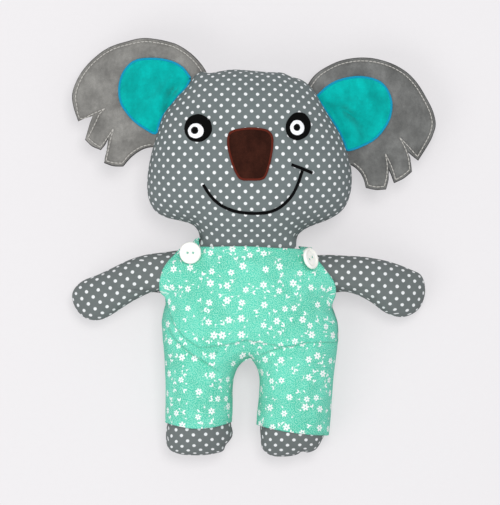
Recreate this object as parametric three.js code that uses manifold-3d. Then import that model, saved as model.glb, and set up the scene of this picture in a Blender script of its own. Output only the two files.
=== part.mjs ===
import * as THREE from 'three';
import { mergeVertices } from 'three/addons/utils/BufferGeometryUtils.js';
import Module from 'manifold-3d';

// A stuffed koala with felt ears and cotton dungarees, lying on its back.
// Millimetres, +Y towards the head, +Z up from the surface it lies on. Seen from above, +X is to
// the right, and left and right in the names are as seen from there. While it is built, x is
// zero on the body's centre line and y is zero on the seam where the legs join. At the end the
// whole toy is centred.

const wasm = await Module();
wasm.setup();

// Fits between pieces
const clearance = 0.3;
const overrun = 40;
const flatDepth = 0.5;

// Cloth, felt and thread
const clothThickness = 1;
const feltThickness = 1.5;
const appliqueThickness = 1.2;
const stitchHeight = 0.8;

// Head and neck
const headWidth = 153;
const headLength = 133;
const headThickness = 80;
const neckWidth = 72;
const neckThickness = 42;

// Body
const torsoWidth = 123;
const torsoLength = 79.5;
const torsoThickness = 62;
const neckRise = 3;
const hipTaperLength = 30;

// Arms
const armLength = 76;
const armWidth = 36;
const armThickness = 32;
const armTaperLength = 28;

// Legs and trousers
const legLength = 75.5;
const legWidth = 47;
const legThickness = 47;
const legTaperLength = 26;
const trouserLength = 60;
const footFullShare = 0.95;
const trouserRise = 11.5;
const crotchDrop = 0.8;

// Ears
const earLength = 75;
const earDroop = 0.2;
const earHingeOut = 6;
const earSeamGap = 0.95;
const earSetBack = 3;
const appliqueSetBack = 1.5;
const earBackPeek = 0.8;
const appliqueEdgeWidth = 2;
const topstitchInset = 2.2;
const topstitchWidth = 0.9;
const topstitchHeight = 0.5;

// Face
const noseWidth = 34.5;
const noseHeight = 40.5;
const noseEdgeWidth = 1.6;
const eyeRadius = 10;
const eyeWhiteRadius = 5.7;
const pupilRadius = 2.6;
const smileLineWidth = 2.2;

// Straps and buttons
const strapWidth = 12;
const buttonDiameter = 16.5;
const buttonThickness = 2.6;
const buttonDishDepth = 0.8;
const buttonHoleRadius = 1.1;
const buttonHoleSpacing = 3.8;
const threadRadius = 0.6;
const buttonRimShare = 0.16;
const buttonSlopeShare = 0.5;
const buttonFootShare = 0.86;
const buttonFlankShare = 0.35;
const leftButtonShares = [-0.74, 0.984];
const rightButtonShares = [0.76, 0.933];
const buttonAimShare = 0.8;
const leftButtonLean = -0.2;
const rightButtonLean = 0.85;
const buttonSeatRounds = 24;
const leftStrapShare = -0.715;
const rightStrapShare = 0.695;
const strapEndShare = 0.88;

// Sides and steps of curved shapes
const headSides = 24;
const bodySides = 24;
const limbSides = 16;
const roundSides = 20;
const holeSides = 10;
const outlineSteps = 40;
const rimSteps = 20;
const smileSteps = 20;
const cheekSteps = 4;
const sharpestTurn = 0.5;
const topstitchStartSkip = 1;
const topstitchEndSkip = 2;

// Heights of the side seams above the surface
const torsoMiddle = torsoThickness / 2 + clothThickness + clearance - flatDepth;
const headMiddle = headThickness / 2 - flatDepth;
const handMiddle = armThickness / 2 - flatDepth;
const footMiddle = (legThickness / 2) * footFullShare - flatDepth;
const headBase = torsoLength + neckRise;
const neckSeamLift = 2;

const cotton = { color: 0x6c7174, roughness: 0.95, metalness: 0 };
const limbCotton = { color: 0x55595c, roughness: 0.95, metalness: 0 };
const mint = { color: 0x55d7b4, roughness: 0.95, metalness: 0 };
const greyFelt = { color: 0x928f8c, roughness: 1, metalness: 0 };
const tealFelt = { color: 0x0fb4aa, roughness: 1, metalness: 0 };
const blueThread = { color: 0x1496be, roughness: 0.6, metalness: 0 };
const greyThread = { color: 0xcdc8c3, roughness: 0.7, metalness: 0 };
const brownFelt = { color: 0x3e201a, roughness: 1, metalness: 0 };
const rustThread = { color: 0x7d2d1e, roughness: 0.6, metalness: 0 };
const blackThread = { color: 0x0c0c0e, roughness: 0.6, metalness: 0 };
const whiteThread = { color: 0xf2f2f0, roughness: 0.6, metalness: 0 };
const greenThread = { color: 0xa8dcc0, roughness: 0.7, metalness: 0 };
const creamPlastic = { color: 0xfaf8ee, roughness: 0.3, metalness: 0 };

const toy = new THREE.Group();

// Adds a piece to a group, which stands at the place where it turns.
function addPiece(group, name, solid, finish) {
  toy.updateMatrixWorld(true);
  const geometry = geometryOf(solid);
  geometry.applyMatrix4(group.matrixWorld.clone().invert());
  const mesh = new THREE.Mesh(geometry, new THREE.MeshStandardMaterial(finish));
  mesh.name = name;
  group.add(mesh);
}

// Turns a closed geometry into a solid that can be joined and cut.
function solidOf(geometry) {
  const bare = geometry.clone();
  bare.deleteAttribute('normal');
  bare.deleteAttribute('uv');
  const merged = mergeVertices(bare);
  return new wasm.Manifold(
    new wasm.Mesh({
      numProp: 3,
      vertProperties: new Float32Array(merged.attributes.position.array),
      triVerts: new Uint32Array(merged.index.array),
    }),
  );
}

function geometryOf(solid) {
  const mesh = solid.getMesh();
  const geometry = new THREE.BufferGeometry();
  geometry.setAttribute('position', new THREE.BufferAttribute(mesh.vertProperties, mesh.numProp));
  geometry.setIndex(new THREE.BufferAttribute(mesh.triVerts, 1));
  geometry.computeVertexNormals();
  return geometry;
}

// A stuffed form as a row of rounded sections. Each section lies at `along` and reaches from
// `low` to `high` across, and from `middle` down by `back` and up by `front`. `turn` gives the
// point for a place along, across and up. The form is cut flat at `floor`.
function stuffedForm(sections, sides, floor, turn) {
  const points = [];
  for (const { along, low, high, middle, front, back } of sections) {
    for (let side = 0; side < sides; side += 1) {
      const angle = (side / sides) * 2 * Math.PI;
      const across = (low + high) / 2 + ((high - low) / 2) * Math.cos(angle);
      const reach = Math.sin(angle) > 0 ? front : back;
      points.push(...turn(along, across, middle + reach * Math.sin(angle)));
    }
  }
  for (const { along, low, high, middle } of [sections[0], sections[sections.length - 1]]) {
    points.push(...turn(along, (low + high) / 2, middle));
  }
  const startCentre = sections.length * sides;
  const endCentre = startCentre + 1;
  const faces = [];
  for (let side = 0; side < sides; side += 1) {
    const next = (side + 1) % sides;
    faces.push(startCentre, next, side);
    for (let row = 0; row + 1 < sections.length; row += 1) {
      const here = row * sides;
      const there = here + sides;
      faces.push(here + side, here + next, there + next, here + side, there + next, there + side);
    }
    const last = (sections.length - 1) * sides;
    faces.push(endCentre, last + side, last + next);
  }
  const geometry = new THREE.BufferGeometry();
  geometry.setAttribute('position', new THREE.Float32BufferAttribute(points, 3));
  geometry.setIndex(faces);
  if (signedVolume(geometry) < 0) {
    for (let face = 0; face < faces.length; face += 3) {
      [faces[face + 1], faces[face + 2]] = [faces[face + 2], faces[face + 1]];
    }
    geometry.setIndex(faces);
  }
  const reach = new THREE.Box3().setFromBufferAttribute(geometry.attributes.position);
  const under = block(
    new THREE.Vector3(reach.min.x - overrun, reach.min.y - overrun, reach.min.z - overrun),
    new THREE.Vector3(reach.max.x + overrun, reach.max.y + overrun, floor),
  );
  return solidOf(geometry).subtract(under);
}

function signedVolume(geometry) {
  const place = geometry.attributes.position;
  const corner = [new THREE.Vector3(), new THREE.Vector3(), new THREE.Vector3()];
  let volume = 0;
  for (let face = 0; face < geometry.index.count; face += 3) {
    corner.forEach((point, turn) => point.fromBufferAttribute(place, geometry.index.getX(face + turn)));
    volume += corner[0].dot(corner[1].clone().cross(corner[2])) / 6;
  }
  return volume;
}

const alongY = (along, across, up) => [across, along, up];
const alongX = (along, across, up) => [along, across, up];

// A plate of the outline's shape that runs from one height to another.
function plate(outline, bottom, top) {
  const shape = outline instanceof THREE.Shape ? outline : new THREE.Shape(outline);
  const geometry = new THREE.ExtrudeGeometry(shape, {
    depth: top - bottom,
    bevelEnabled: false,
  });
  geometry.translate(0, 0, bottom);
  return geometry;
}

function block(low, high) {
  const size = new THREE.Vector3().subVectors(high, low);
  const geometry = new THREE.BoxGeometry(size.x, size.y, size.z);
  geometry.translate((low.x + high.x) / 2, (low.y + high.y) / 2, (low.z + high.z) / 2);
  return solidOf(geometry);
}

// How full a form is at a distance from the seam that flattens it.
const rootFullness = (distance, taperLength) =>
  Math.sin((Math.PI / 2) * Math.min(1, Math.max(0, distance) / taperLength));

// Head form

// Place along the head from its base, then its left edge, right edge and fullness.
const headShares = [
  [0.09, -0.5, 0.5, 0.56],
  [0.12, -0.545, 0.61, 0.63],
  [0.153, -0.67, 0.77, 0.7],
  [0.192, -0.877, 0.892, 0.78],
  [0.237, -0.966, 0.952, 0.85],
  [0.31, -1, 0.995, 0.93],
  [0.4, -0.996, 1.005, 0.98],
  [0.486, -0.96, 0.985, 1],
  [0.57, -0.955, 0.945, 0.99],
  [0.644, -0.907, 0.887, 0.96],
  [0.718, -0.868, 0.81, 0.91],
  [0.797, -0.77, 0.71, 0.82],
  [0.876, -0.66, 0.637, 0.68],
  [0.92, -0.583, 0.593, 0.56],
  [0.95, -0.525, 0.485, 0.45],
  [0.975, -0.44, 0.36, 0.33],
  [0.994, -0.27, 0.2, 0.16],
  [1, -0.17, 0.02, 0.05],
];
const chinLiftShare = 0.55;
const jawShare = 0.31;

function headForm(growth) {
  const sections = headShares.map(([alongShare, leftShare, rightShare, fullShare], row) => {
    const outward = row === headShares.length - 1 ? growth : 0;
    const inward = row === 0 ? growth : 0;
    const lift = Math.min(1, alongShare / jawShare);
    const settle = chinLiftShare + (1 - chinLiftShare) * lift;
    return {
      along: headBase + alongShare * headLength + outward - inward,
      low: (leftShare * headWidth) / 2 - growth,
      high: (rightShare * headWidth) / 2 + growth,
      middle: torsoMiddle + (headMiddle - torsoMiddle) * settle,
      front: (fullShare * headThickness) / 2 + growth,
      back: (fullShare * headThickness) / 2 + growth,
    };
  });
  return stuffedForm(sections, headSides, 0, alongY);
}

// Neck, the narrow part of the stuffing between the head and the body

const neckTop = headBase + headShares[0][0] * headLength - clearance;
const neckBottom = torsoLength + clearance;
const neckMiddleShares = [0, 0.25, 0.5, 0.75, 1];
const neckWaistShare = 0.04;

function neckForm() {
  const sections = neckMiddleShares.map((alongShare) => {
    const waist = 1 - neckWaistShare * Math.sin(Math.PI * alongShare);
    return {
      along: neckBottom + (neckTop - neckBottom) * alongShare,
      low: (-neckWidth / 2) * waist,
      high: (neckWidth / 2) * waist,
      middle: torsoMiddle + (headMiddle - torsoMiddle) * chinLiftShare * alongShare,
      front: (neckThickness / 2) * waist,
      back: (neckThickness / 2) * waist,
    };
  });
  return stuffedForm(sections, bodySides, 0, alongY);
}

// Body form

// Place along the body up from the leg seam, then its left edge, right edge and fullness.
const torsoShares = [
  [0.004, -0.945, 0.97, 0.8],
  [0.03, -0.98, 1, 0.82],
  [0.075, -1, 1.012, 0.86],
  [0.145, -1.006, 1.024, 0.91],
  [0.24, -1.012, 1.025, 0.96],
  [0.36, -1.002, 1.01, 1],
  [0.48, -0.975, 0.96, 1],
  [0.632, -0.957, 0.945, 1],
  [0.755, -0.957, 0.933, 0.97],
  [0.858, -0.933, 0.902, 0.91],
  [0.934, -0.89, 0.848, 0.83],
  [0.98, -0.835, 0.793, 0.73],
  [1, -0.775, 0.738, 0.62],
];

function torsoSection([alongShare, leftShare, rightShare, fullShare], front, back, side) {
  return {
    along: alongShare * torsoLength,
    low: (leftShare * torsoWidth) / 2 - side,
    high: (rightShare * torsoWidth) / 2 + side,
    middle: torsoMiddle,
    front: (fullShare * torsoThickness) / 2 + front,
    back: (fullShare * torsoThickness) / 2 + back,
  };
}

function torsoForm() {
  const sections = torsoShares.map((share) => {
    const section = torsoSection(share, 0, 0, 0);
    const full = rootFullness(section.along, hipTaperLength);
    return { ...section, front: section.front * full, back: section.back * full };
  });
  return stuffedForm(sections, bodySides, clothThickness + clearance, alongY);
}

// The space round the body at a distance from it, from the crotch to past the neck.
function bodyWrap(front, side, floor) {
  const rows = torsoShares.map((share) => torsoSection(share, front, front, side));
  const crotch = { ...rows[1], along: -crotchDrop - side };
  const chest = rows[rows.length - 2];
  const neckFront = neckThickness / 2 + clearance + front;
  const collar = {
    ...chest,
    along: torsoLength + clearance,
    front: Math.max(neckFront, chest.front),
    back: Math.max(neckFront, chest.back),
  };
  const above = { ...collar, along: torsoLength + overrun };
  return stuffedForm([crotch, ...rows.slice(1, -1), collar, above], bodySides, floor, alongY);
}

// The same space closed over the shoulders, with a distance of its own in front and behind.
function shoulderWrap(front, back, floor) {
  const rows = torsoShares.map((share) => torsoSection(share, front, back, front));
  const last = rows.length - 1;
  rows[last] = { ...rows[last], along: torsoLength + back };
  return stuffedForm(rows, bodySides, floor, alongY);
}

// Arms

// Place along the arm from its seam, then its lower edge, upper edge (of the arm's width, from
// the middle of the seam), fullness and how far it has sunk towards the surface.
const leftArmShares = [
  [0.006, -0.48, 0.5, 1, 0],
  [0.06, -0.47, 0.52, 1, 0.02],
  [0.14, -0.45, 0.5, 1, 0.08],
  [0.23, -0.46, 0.48, 1, 0.16],
  [0.34, -0.58, 0.43, 1, 0.28],
  [0.45, -0.72, 0.33, 1, 0.42],
  [0.6, -0.92, 0.18, 1, 0.62],
  [0.75, -1.02, 0.03, 1, 0.83],
  [0.86, -0.98, -0.06, 0.96, 0.96],
  [0.94, -0.84, -0.18, 0.76, 1],
  [0.985, -0.7, -0.32, 0.45, 1],
  [1, -0.6, -0.42, 0.2, 1],
];
const rightArmShares = [
  [0.006, -0.44, 0.42, 1, 0],
  [0.06, -0.44, 0.43, 1, 0.02],
  [0.14, -0.4, 0.43, 1, 0.08],
  [0.23, -0.4, 0.42, 1, 0.16],
  [0.33, -0.47, 0.4, 1, 0.28],
  [0.44, -0.61, 0.38, 1, 0.42],
  [0.58, -0.83, 0.32, 1, 0.62],
  [0.73, -0.95, 0.22, 1, 0.83],
  [0.85, -0.93, 0.12, 0.96, 0.96],
  [0.93, -0.8, 0.04, 0.78, 1],
  [0.98, -0.62, -0.05, 0.5, 1],
  [1, -0.46, -0.2, 0.22, 1],
];
const armSeamMiddleShare = 0.787;
const armSeamShares = [-0.957, 0.945];

function armForm(shares, seam, outward) {
  const seamMiddle = armSeamMiddleShare * torsoLength;
  const sections = shares.map(([alongShare, lowShare, highShare, fullShare, sunkShare]) => {
    const distance = alongShare * armLength;
    const half = (armThickness / 2) * fullShare * rootFullness(distance, armTaperLength);
    return {
      along: seam + outward * distance,
      low: seamMiddle + lowShare * armWidth,
      high: seamMiddle + highShare * armWidth,
      middle: torsoMiddle + (handMiddle - torsoMiddle) * sunkShare,
      front: half,
      back: half,
    };
  });
  return stuffedForm(sections, limbSides, 0, alongX);
}

// Legs

// Place along the leg down from its seam, then its outer edge, inner edge (of the leg's width,
// from the outer end of the seam), fullness and how far it has sunk towards the surface.
const leftLegShares = [
  [0.006, 0.08, 1.25, 1, 0],
  [0.045, 0.01, 1.17, 1, 0.04],
  [0.1, 0, 1.1, 1, 0.1],
  [0.17, 0, 1.045, 1, 0.18],
  [0.3, 0.01, 1, 1, 0.34],
  [0.46, 0.012, 0.995, 1, 0.52],
  [0.62, -0.005, 0.995, 1, 0.66],
  [0.7, -0.02, 1.01, 1, 0.68],
  [0.775, -0.025, 1.035, 0.98, 0.88],
  [0.834, -0.02, 1.01, 0.95, 1],
  [0.874, -0.015, 0.94, 0.9, 1.03],
  [0.914, 0.005, 0.92, 0.82, 1.06],
  [0.944, 0.04, 0.9, 0.7, 1.1],
  [0.979, 0.14, 0.73, 0.45, 1.15],
  [1, 0.3, 0.57, 0.2, 1.18],
];
const rightLegShares = [
  [0.006, 0.09, 1.3, 1, 0],
  [0.045, 0.035, 1.22, 1, 0.04],
  [0.1, 0.04, 1.19, 1, 0.1],
  [0.17, 0.05, 1.165, 1, 0.18],
  [0.3, 0.07, 1.16, 1, 0.34],
  [0.46, 0.085, 1.18, 1, 0.52],
  [0.62, 0.1, 1.2, 1, 0.64],
  [0.72, 0.12, 1.2, 1, 0.67],
  [0.805, 0.15, 1.185, 0.98, 0.72],
  [0.86, 0.2, 1.18, 0.95, 1],
  [0.92, 0.268, 1.17, 0.8, 1.06],
  [0.954, 0.363, 1.12, 0.66, 1.1],
  [0.983, 0.55, 1.065, 0.42, 1.15],
  [1, 0.72, 0.99, 0.2, 1.18],
];
const leftLegEdgeShare = -1.005;
const rightLegEdgeShare = 1.04;

function legSections(shares, edge, inward, growth, tapered) {
  return shares.map(([alongShare, outerShare, innerShare, fullShare, sunkShare]) => {
    const distance = alongShare * legLength;
    const full = tapered ? rootFullness(distance, legTaperLength) : 1;
    const outer = edge + inward * (outerShare * legWidth - growth);
    const inner = edge + inward * (innerShare * legWidth + growth);
    const half = (legThickness / 2) * fullShare * full + growth;
    return {
      along: -distance,
      low: Math.min(outer, inner),
      high: Math.max(outer, inner),
      middle: torsoMiddle + (footMiddle - torsoMiddle) * sunkShare,
      front: half,
      back: half,
    };
  });
}

function legForm(shares, edge, inward) {
  return stuffedForm(legSections(shares, edge, inward, 0, true), limbSides, 0, alongY);
}

// The space round a leg at a distance from it, from inside the body's wrap to past the hem.
function legWrap(shares, edge, inward, growth, floor) {
  const sections = legSections(shares, edge, inward, growth, false);
  const hem = shares.findIndex(([alongShare]) => alongShare * legLength > trouserLength);
  const top = { ...sections[0], along: trouserRise };
  const past = { ...sections[hem], along: -trouserLength - overrun };
  return stuffedForm([top, ...sections.slice(0, hem + 1), past], limbSides, floor, alongY);
}

// Outlines

const point = (x, y) => new THREE.Vector2(x, y);

// A closed smooth outline through points, or an open one where it has two ends.
function curveThrough(points, steps, closed) {
  const route = points.map(({ x, y }) => new THREE.Vector3(x, y, 0));
  const curve = new THREE.CatmullRomCurve3(route, closed, 'centripetal');
  const places = curve.getSpacedPoints(steps).map(({ x, y }) => point(x, y));
  return closed ? places.slice(0, -1) : places;
}

// Moves each point of a closed outline out by a distance, or in where it is below zero.
function grown(outline, distance) {
  const turn = Math.sign(THREE.ShapeUtils.area(outline));
  const count = outline.length;
  return outline.map((corner, index) => {
    const before = corner.clone().sub(outline[(index + count - 1) % count]).normalize();
    const after = outline[(index + 1) % count].clone().sub(corner).normalize();
    const along = before.clone().add(after).normalize();
    const outward = point(along.y * turn, -along.x * turn);
    const sharpness = Math.max(sharpestTurn, Math.abs(along.dot(after)));
    return corner.clone().addScaledVector(outward, distance / sharpness);
  });
}

// A ring between two outlines. The outer one has to run anticlockwise.
function ringShape(outer, inner) {
  const turned = THREE.ShapeUtils.isClockWise(outer) ? [...outer].reverse() : outer;
  const shape = new THREE.Shape(turned);
  shape.holes.push(new THREE.Path(inner));
  return shape;
}

function circle(centre, radius) {
  const corners = [];
  for (let side = 0; side < roundSides; side += 1) {
    const angle = (side / roundSides) * 2 * Math.PI;
    corners.push(point(centre.x + radius * Math.cos(angle), centre.y + radius * Math.sin(angle)));
  }
  return corners;
}

// A band of even width that follows an open line, mitred at its corners.
function bandAlong(line, width) {
  const last = line.length - 1;
  const sides = line.map((place, index) => {
    const from = Math.min(index, last - 1);
    const until = Math.max(index, 1);
    const after = line[from + 1].clone().sub(line[from]).normalize();
    const before = line[until].clone().sub(line[until - 1]).normalize();
    const along = after.clone().add(before).normalize();
    const sharpness = Math.max(sharpestTurn, Math.abs(along.dot(after)));
    return [place, point(-along.y, along.x).multiplyScalar(width / 2 / sharpness)];
  });
  const near = sides.map(([place, across]) => place.clone().add(across));
  const far = sides.map(([place, across]) => place.clone().sub(across));
  return [...near, ...far.reverse()];
}

// Stuffed pieces

const neckPivot = new THREE.Vector3(0, (neckBottom + neckTop) / 2, torsoMiddle + neckSeamLift);
const hipPivot = new THREE.Vector3(0, 0, torsoMiddle);

const torsoGroup = new THREE.Group();
const headGroup = new THREE.Group();
headGroup.position.copy(neckPivot);
toy.add(torsoGroup, headGroup);

addPiece(headGroup, 'head', headForm(0), cotton);
addPiece(torsoGroup, 'neck', neckForm(), cotton);
addPiece(torsoGroup, 'torso', torsoForm(), cotton);

const leftSeam = (armSeamShares[0] * torsoWidth) / 2 - clearance;
const rightSeam = (armSeamShares[1] * torsoWidth) / 2 + clearance;
const armMiddle = armSeamMiddleShare * torsoLength;
const leftArmGroup = new THREE.Group();
const rightArmGroup = new THREE.Group();
leftArmGroup.position.set(leftSeam, armMiddle, torsoMiddle);
rightArmGroup.position.set(rightSeam, armMiddle, torsoMiddle);
toy.add(leftArmGroup, rightArmGroup);
addPiece(leftArmGroup, 'left_arm', armForm(leftArmShares, leftSeam, -1), limbCotton);
addPiece(rightArmGroup, 'right_arm', armForm(rightArmShares, rightSeam, 1), limbCotton);

const leftLegEdge = (leftLegEdgeShare * torsoWidth) / 2;
const rightLegEdge = (rightLegEdgeShare * torsoWidth) / 2;
const leftLegGroup = new THREE.Group();
const rightLegGroup = new THREE.Group();
leftLegGroup.position.copy(hipPivot);
rightLegGroup.position.copy(hipPivot);
toy.add(leftLegGroup, rightLegGroup);
addPiece(leftLegGroup, 'left_leg', legForm(leftLegShares, leftLegEdge, 1), limbCotton);
addPiece(rightLegGroup, 'right_leg', legForm(rightLegShares, rightLegEdge, -1), limbCotton);

// Dungarees, one wrap of cloth round the body and both legs, cut into panels

const wrapFit = clearance + clothThickness;
const clothSolid = bodyWrap(wrapFit, wrapFit, 0)
  .add(legWrap(leftLegShares, leftLegEdge, 1, wrapFit, 0))
  .add(legWrap(rightLegShares, rightLegEdge, -1, wrapFit, 0))
  .subtract(
    bodyWrap(clearance, clearance, clothThickness)
      .add(legWrap(leftLegShares, leftLegEdge, 1, clearance, clothThickness))
      .add(legWrap(rightLegShares, rightLegEdge, -1, clearance, clothThickness)),
  );
const far = torsoWidth;
const seamAbove = torsoMiddle + clearance / 2;
const seamBelow = torsoMiddle - clearance / 2;
const panelBottom = trouserRise + clearance;

// Points of an outline over the body, as shares of its half width and of its length.
const overBody = (shares) =>
  shares.map(([acrossShare, alongShare]) =>
    point((acrossShare * torsoWidth) / 2, alongShare * torsoLength));

// The bib's top edge and the hollows that its sides leave for the arms.
const frontEdgeShares = [
  [0.99, 0.5],
  [0.9, 0.56],
  [0.87, 0.65],
  [0.86, 0.76],
  [0.82, 0.87],
  [0.76, 0.968],
  [0.6, 0.974],
  [0.59, 1.022],
  [-0.08, 1.042],
  [-0.59, 1.03],
  [-0.6, 0.974],
  [-0.8, 0.968],
  [-0.85, 0.87],
  [-0.89, 0.76],
  [-0.89, 0.65],
  [-0.92, 0.56],
  [-0.99, 0.5],
];
const frontOutline = [
  point(-far, panelBottom),
  point(far, panelBottom),
  point(far, frontEdgeShares[0][1] * torsoLength),
  ...overBody(frontEdgeShares),
  point(-far, frontEdgeShares[0][1] * torsoLength),
];
const backTopShare = 0.48;
const backOutline = [
  point(-far, panelBottom),
  point(far, panelBottom),
  point(far, backTopShare * torsoLength),
  point(-far, backTopShare * torsoLength),
];
const ceiling = torsoThickness + headThickness;
const frontPlate = solidOf(plate(frontOutline, seamAbove, ceiling));
const backPlate = solidOf(plate(backOutline, -overrun, seamBelow));
const frontSolid = clothSolid.intersect(frontPlate);
addPiece(torsoGroup, 'dungaree_front', frontSolid, mint);
addPiece(torsoGroup, 'dungaree_back', clothSolid.intersect(backPlate), mint);

// The hem of each leg, from the outer side to the inner side.
const leftHemShares = [
  [-1.1, -0.62],
  [-0.74, -0.675],
  [-0.2, -0.618],
];
const rightHemShares = [
  [1.1, -0.745],
  [0.6, -0.73],
  [0.08, -0.645],
];
for (const [name, group, side, shares] of [
  ['left_trouser_leg', leftLegGroup, -1, leftHemShares],
  ['right_trouser_leg', rightLegGroup, 1, rightHemShares],
]) {
  const outline = [
    point((side * clearance) / 2, trouserRise),
    point(side * far, trouserRise),
    point(side * far, shares[0][1] * torsoLength),
    ...overBody(shares),
    point((side * clearance) / 2, shares[shares.length - 1][1] * torsoLength),
  ];
  const leg = clothSolid.intersect(solidOf(plate(outline, -overrun, ceiling)));
  addPiece(group, name, leg, mint);
}

// The panel laid over the front of the dungarees

const panelShares = [
  [-0.615, 0.16],
  [-0.615, 1.0],
  [0.58, 0.99],
  [0.58, 0.84],
  [0.84, 0.72],
  [0.84, 0.16],
];
const panelFit = wrapFit + clearance;
const panelSolid = bodyWrap(panelFit + clothThickness, panelFit + clothThickness, 0)
  .subtract(bodyWrap(panelFit, panelFit, 0))
  .intersect(solidOf(plate(overBody(panelShares), torsoMiddle, ceiling)));
addPiece(torsoGroup, 'bib_panel', panelSolid, mint);

// Straps, each over a shoulder from under its button to the back's top edge

const strapShell = shoulderWrap(panelFit + clothThickness, wrapFit, 0).subtract(
  shoulderWrap(panelFit, clearance, clothThickness),
);
const strapTop = torsoLength + overrun;
const strapFrontEnd = strapEndShare * torsoLength;
const strapBackEnd = backTopShare * torsoLength + clearance;
const strapSolids = {};
for (const [name, acrossShare] of [
  ['left_strap', leftStrapShare],
  ['right_strap', rightStrapShare],
]) {
  const centre = (acrossShare * torsoWidth) / 2;
  const low = centre - strapWidth / 2;
  const high = centre + strapWidth / 2;
  const front = block(
    new THREE.Vector3(low, strapFrontEnd, torsoMiddle),
    new THREE.Vector3(high, strapTop, ceiling),
  );
  const back = block(
    new THREE.Vector3(low, strapBackEnd, -overrun),
    new THREE.Vector3(high, strapTop, torsoMiddle),
  );
  strapSolids[name] = strapShell.intersect(front.add(back));
  addPiece(torsoGroup, name, strapSolids[name], mint);
}

// Buttons, each on the end of its strap

function buttonSolid() {
  const radius = buttonDiameter / 2;
  const rim = radius * buttonRimShare;
  const profile = [
    point(0, 0),
    point(radius * buttonFootShare, 0),
    point(radius, buttonThickness * buttonFlankShare),
    point(radius, buttonThickness * (1 - buttonFlankShare)),
    point(radius - rim / 2, buttonThickness),
    point(radius - rim, buttonThickness),
    point(radius - rim * (1 + buttonSlopeShare), buttonThickness - buttonDishDepth),
    point(0, buttonThickness - buttonDishDepth),
  ];
  const disc = new THREE.LatheGeometry(profile, roundSides);
  disc.rotateX(Math.PI / 2);
  return solidOf(disc);
}

function pin(radius, bottom, top, x) {
  const geometry = new THREE.CylinderGeometry(radius, radius, top - bottom, holeSides);
  geometry.rotateX(Math.PI / 2);
  geometry.translate(x, 0, (top + bottom) / 2);
  return solidOf(geometry);
}

const holeX = buttonHoleSpacing / 2;
const drilledButton = buttonSolid()
  .subtract(pin(buttonHoleRadius, -overrun, overrun, -holeX))
  .subtract(pin(buttonHoleRadius, -overrun, overrun, holeX));
const threadTop = buttonThickness - buttonDishDepth + clearance;
const threadBar = block(
  new THREE.Vector3(-holeX, -threadRadius, threadTop),
  new THREE.Vector3(holeX, threadRadius, threadTop + threadRadius),
);
const threadSolid = threadBar
  .add(pin(threadRadius, 0, threadTop + threadRadius, -holeX))
  .add(pin(threadRadius, 0, threadTop + threadRadius, holeX));

// Each button is brought in along its own axis until it lies on its strap.
for (const [name, shares, lean, carrier] of [
  ['left', leftButtonShares, leftButtonLean, strapSolids.left_strap],
  ['right', rightButtonShares, rightButtonLean, strapSolids.right_strap],
]) {
  const [aim] = overBody([shares]);
  const under = carrier.add(frontSolid).add(panelSolid);
  const axis = new THREE.Vector3(Math.sin(lean), 0, Math.cos(lean));
  const place = new THREE.Vector3(aim.x, aim.y, torsoMiddle + (buttonAimShare * torsoThickness) / 2);
  place.addScaledVector(axis, overrun);
  const turn = new THREE.Matrix4().makeRotationY(lean);
  const turned = drilledButton.transform(turn.elements);
  for (let round = 0; round < buttonSeatRounds; round += 1) {
    const gap = turned.translate(place.toArray()).minGap(under, overrun * 2);
    place.addScaledVector(axis, clearance - gap);
  }
  const buttonGroup = new THREE.Group();
  buttonGroup.position.copy(place);
  buttonGroup.rotation.y = lean;
  torsoGroup.add(buttonGroup);
  toy.updateMatrixWorld(true);
  const world = buttonGroup.matrixWorld.elements;
  addPiece(buttonGroup, `${name}_button`, drilledButton.transform(world), creamPlastic);
  addPiece(buttonGroup, `${name}_button_thread`, threadSolid.transform(world), greenThread);
}

// Face, felt and stitching laid on the front of the head

const overHead = (shares) =>
  shares.map(([acrossShare, alongShare]) =>
    point((acrossShare * headWidth) / 2, headBase + alongShare * headLength));

function faceLayer(thickness) {
  return headForm(clearance + thickness).subtract(headForm(clearance));
}

function addFacePiece(name, outline, thickness, finish) {
  const cutter = solidOf(plate(outline, headMiddle, headThickness + ceiling));
  addPiece(headGroup, name, faceLayer(thickness).intersect(cutter), finish);
}

const noseShares = [
  [-0.5, 0.36],
  [-0.42, 0.46],
  [0, 0.5],
  [0.42, 0.44],
  [0.5, 0.32],
  [0.49, 0.15],
  [0.42, -0.19],
  [0.33, -0.44],
  [0.24, -0.5],
  [-0.2, -0.48],
  [-0.29, -0.39],
  [-0.38, -0.19],
  [-0.49, 0.13],
];
const noseCentreShares = [0, 0.526];
const [noseCentre] = overHead([noseCentreShares]);
const noseOutline = curveThrough(
  noseShares.map(([acrossShare, alongShare]) =>
    point(noseCentre.x + acrossShare * noseWidth, noseCentre.y + alongShare * noseHeight)),
  outlineSteps,
  true,
);
addFacePiece('nose', grown(noseOutline, -noseEdgeWidth - clearance), appliqueThickness, brownFelt);
addFacePiece(
  'nose_edging',
  ringShape(noseOutline, grown(noseOutline, -noseEdgeWidth)),
  appliqueThickness + stitchHeight / 2,
  rustThread,
);

const eyeCentreShares = { left: [-0.51, 0.664], right: [0.475, 0.68] };
const eyeTiltShares = { left: [-0.12, -0.16], right: [-0.09, -0.1] };
for (const side of ['left', 'right']) {
  const [centre] = overHead([eyeCentreShares[side]]);
  const [tiltX, tiltY] = eyeTiltShares[side];
  const white = centre.clone().add(point(tiltX * eyeRadius, tiltY * eyeRadius));
  const black = ringShape(circle(centre, eyeRadius), circle(white, eyeWhiteRadius + clearance));
  const ring = ringShape(circle(white, eyeWhiteRadius), circle(white, pupilRadius + clearance));
  addFacePiece(`${side}_eye`, black, stitchHeight, blackThread);
  addFacePiece(`${side}_eye_ring`, ring, stitchHeight, whiteThread);
  addFacePiece(`${side}_pupil`, circle(white, pupilRadius), stitchHeight, blackThread);
}

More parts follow.
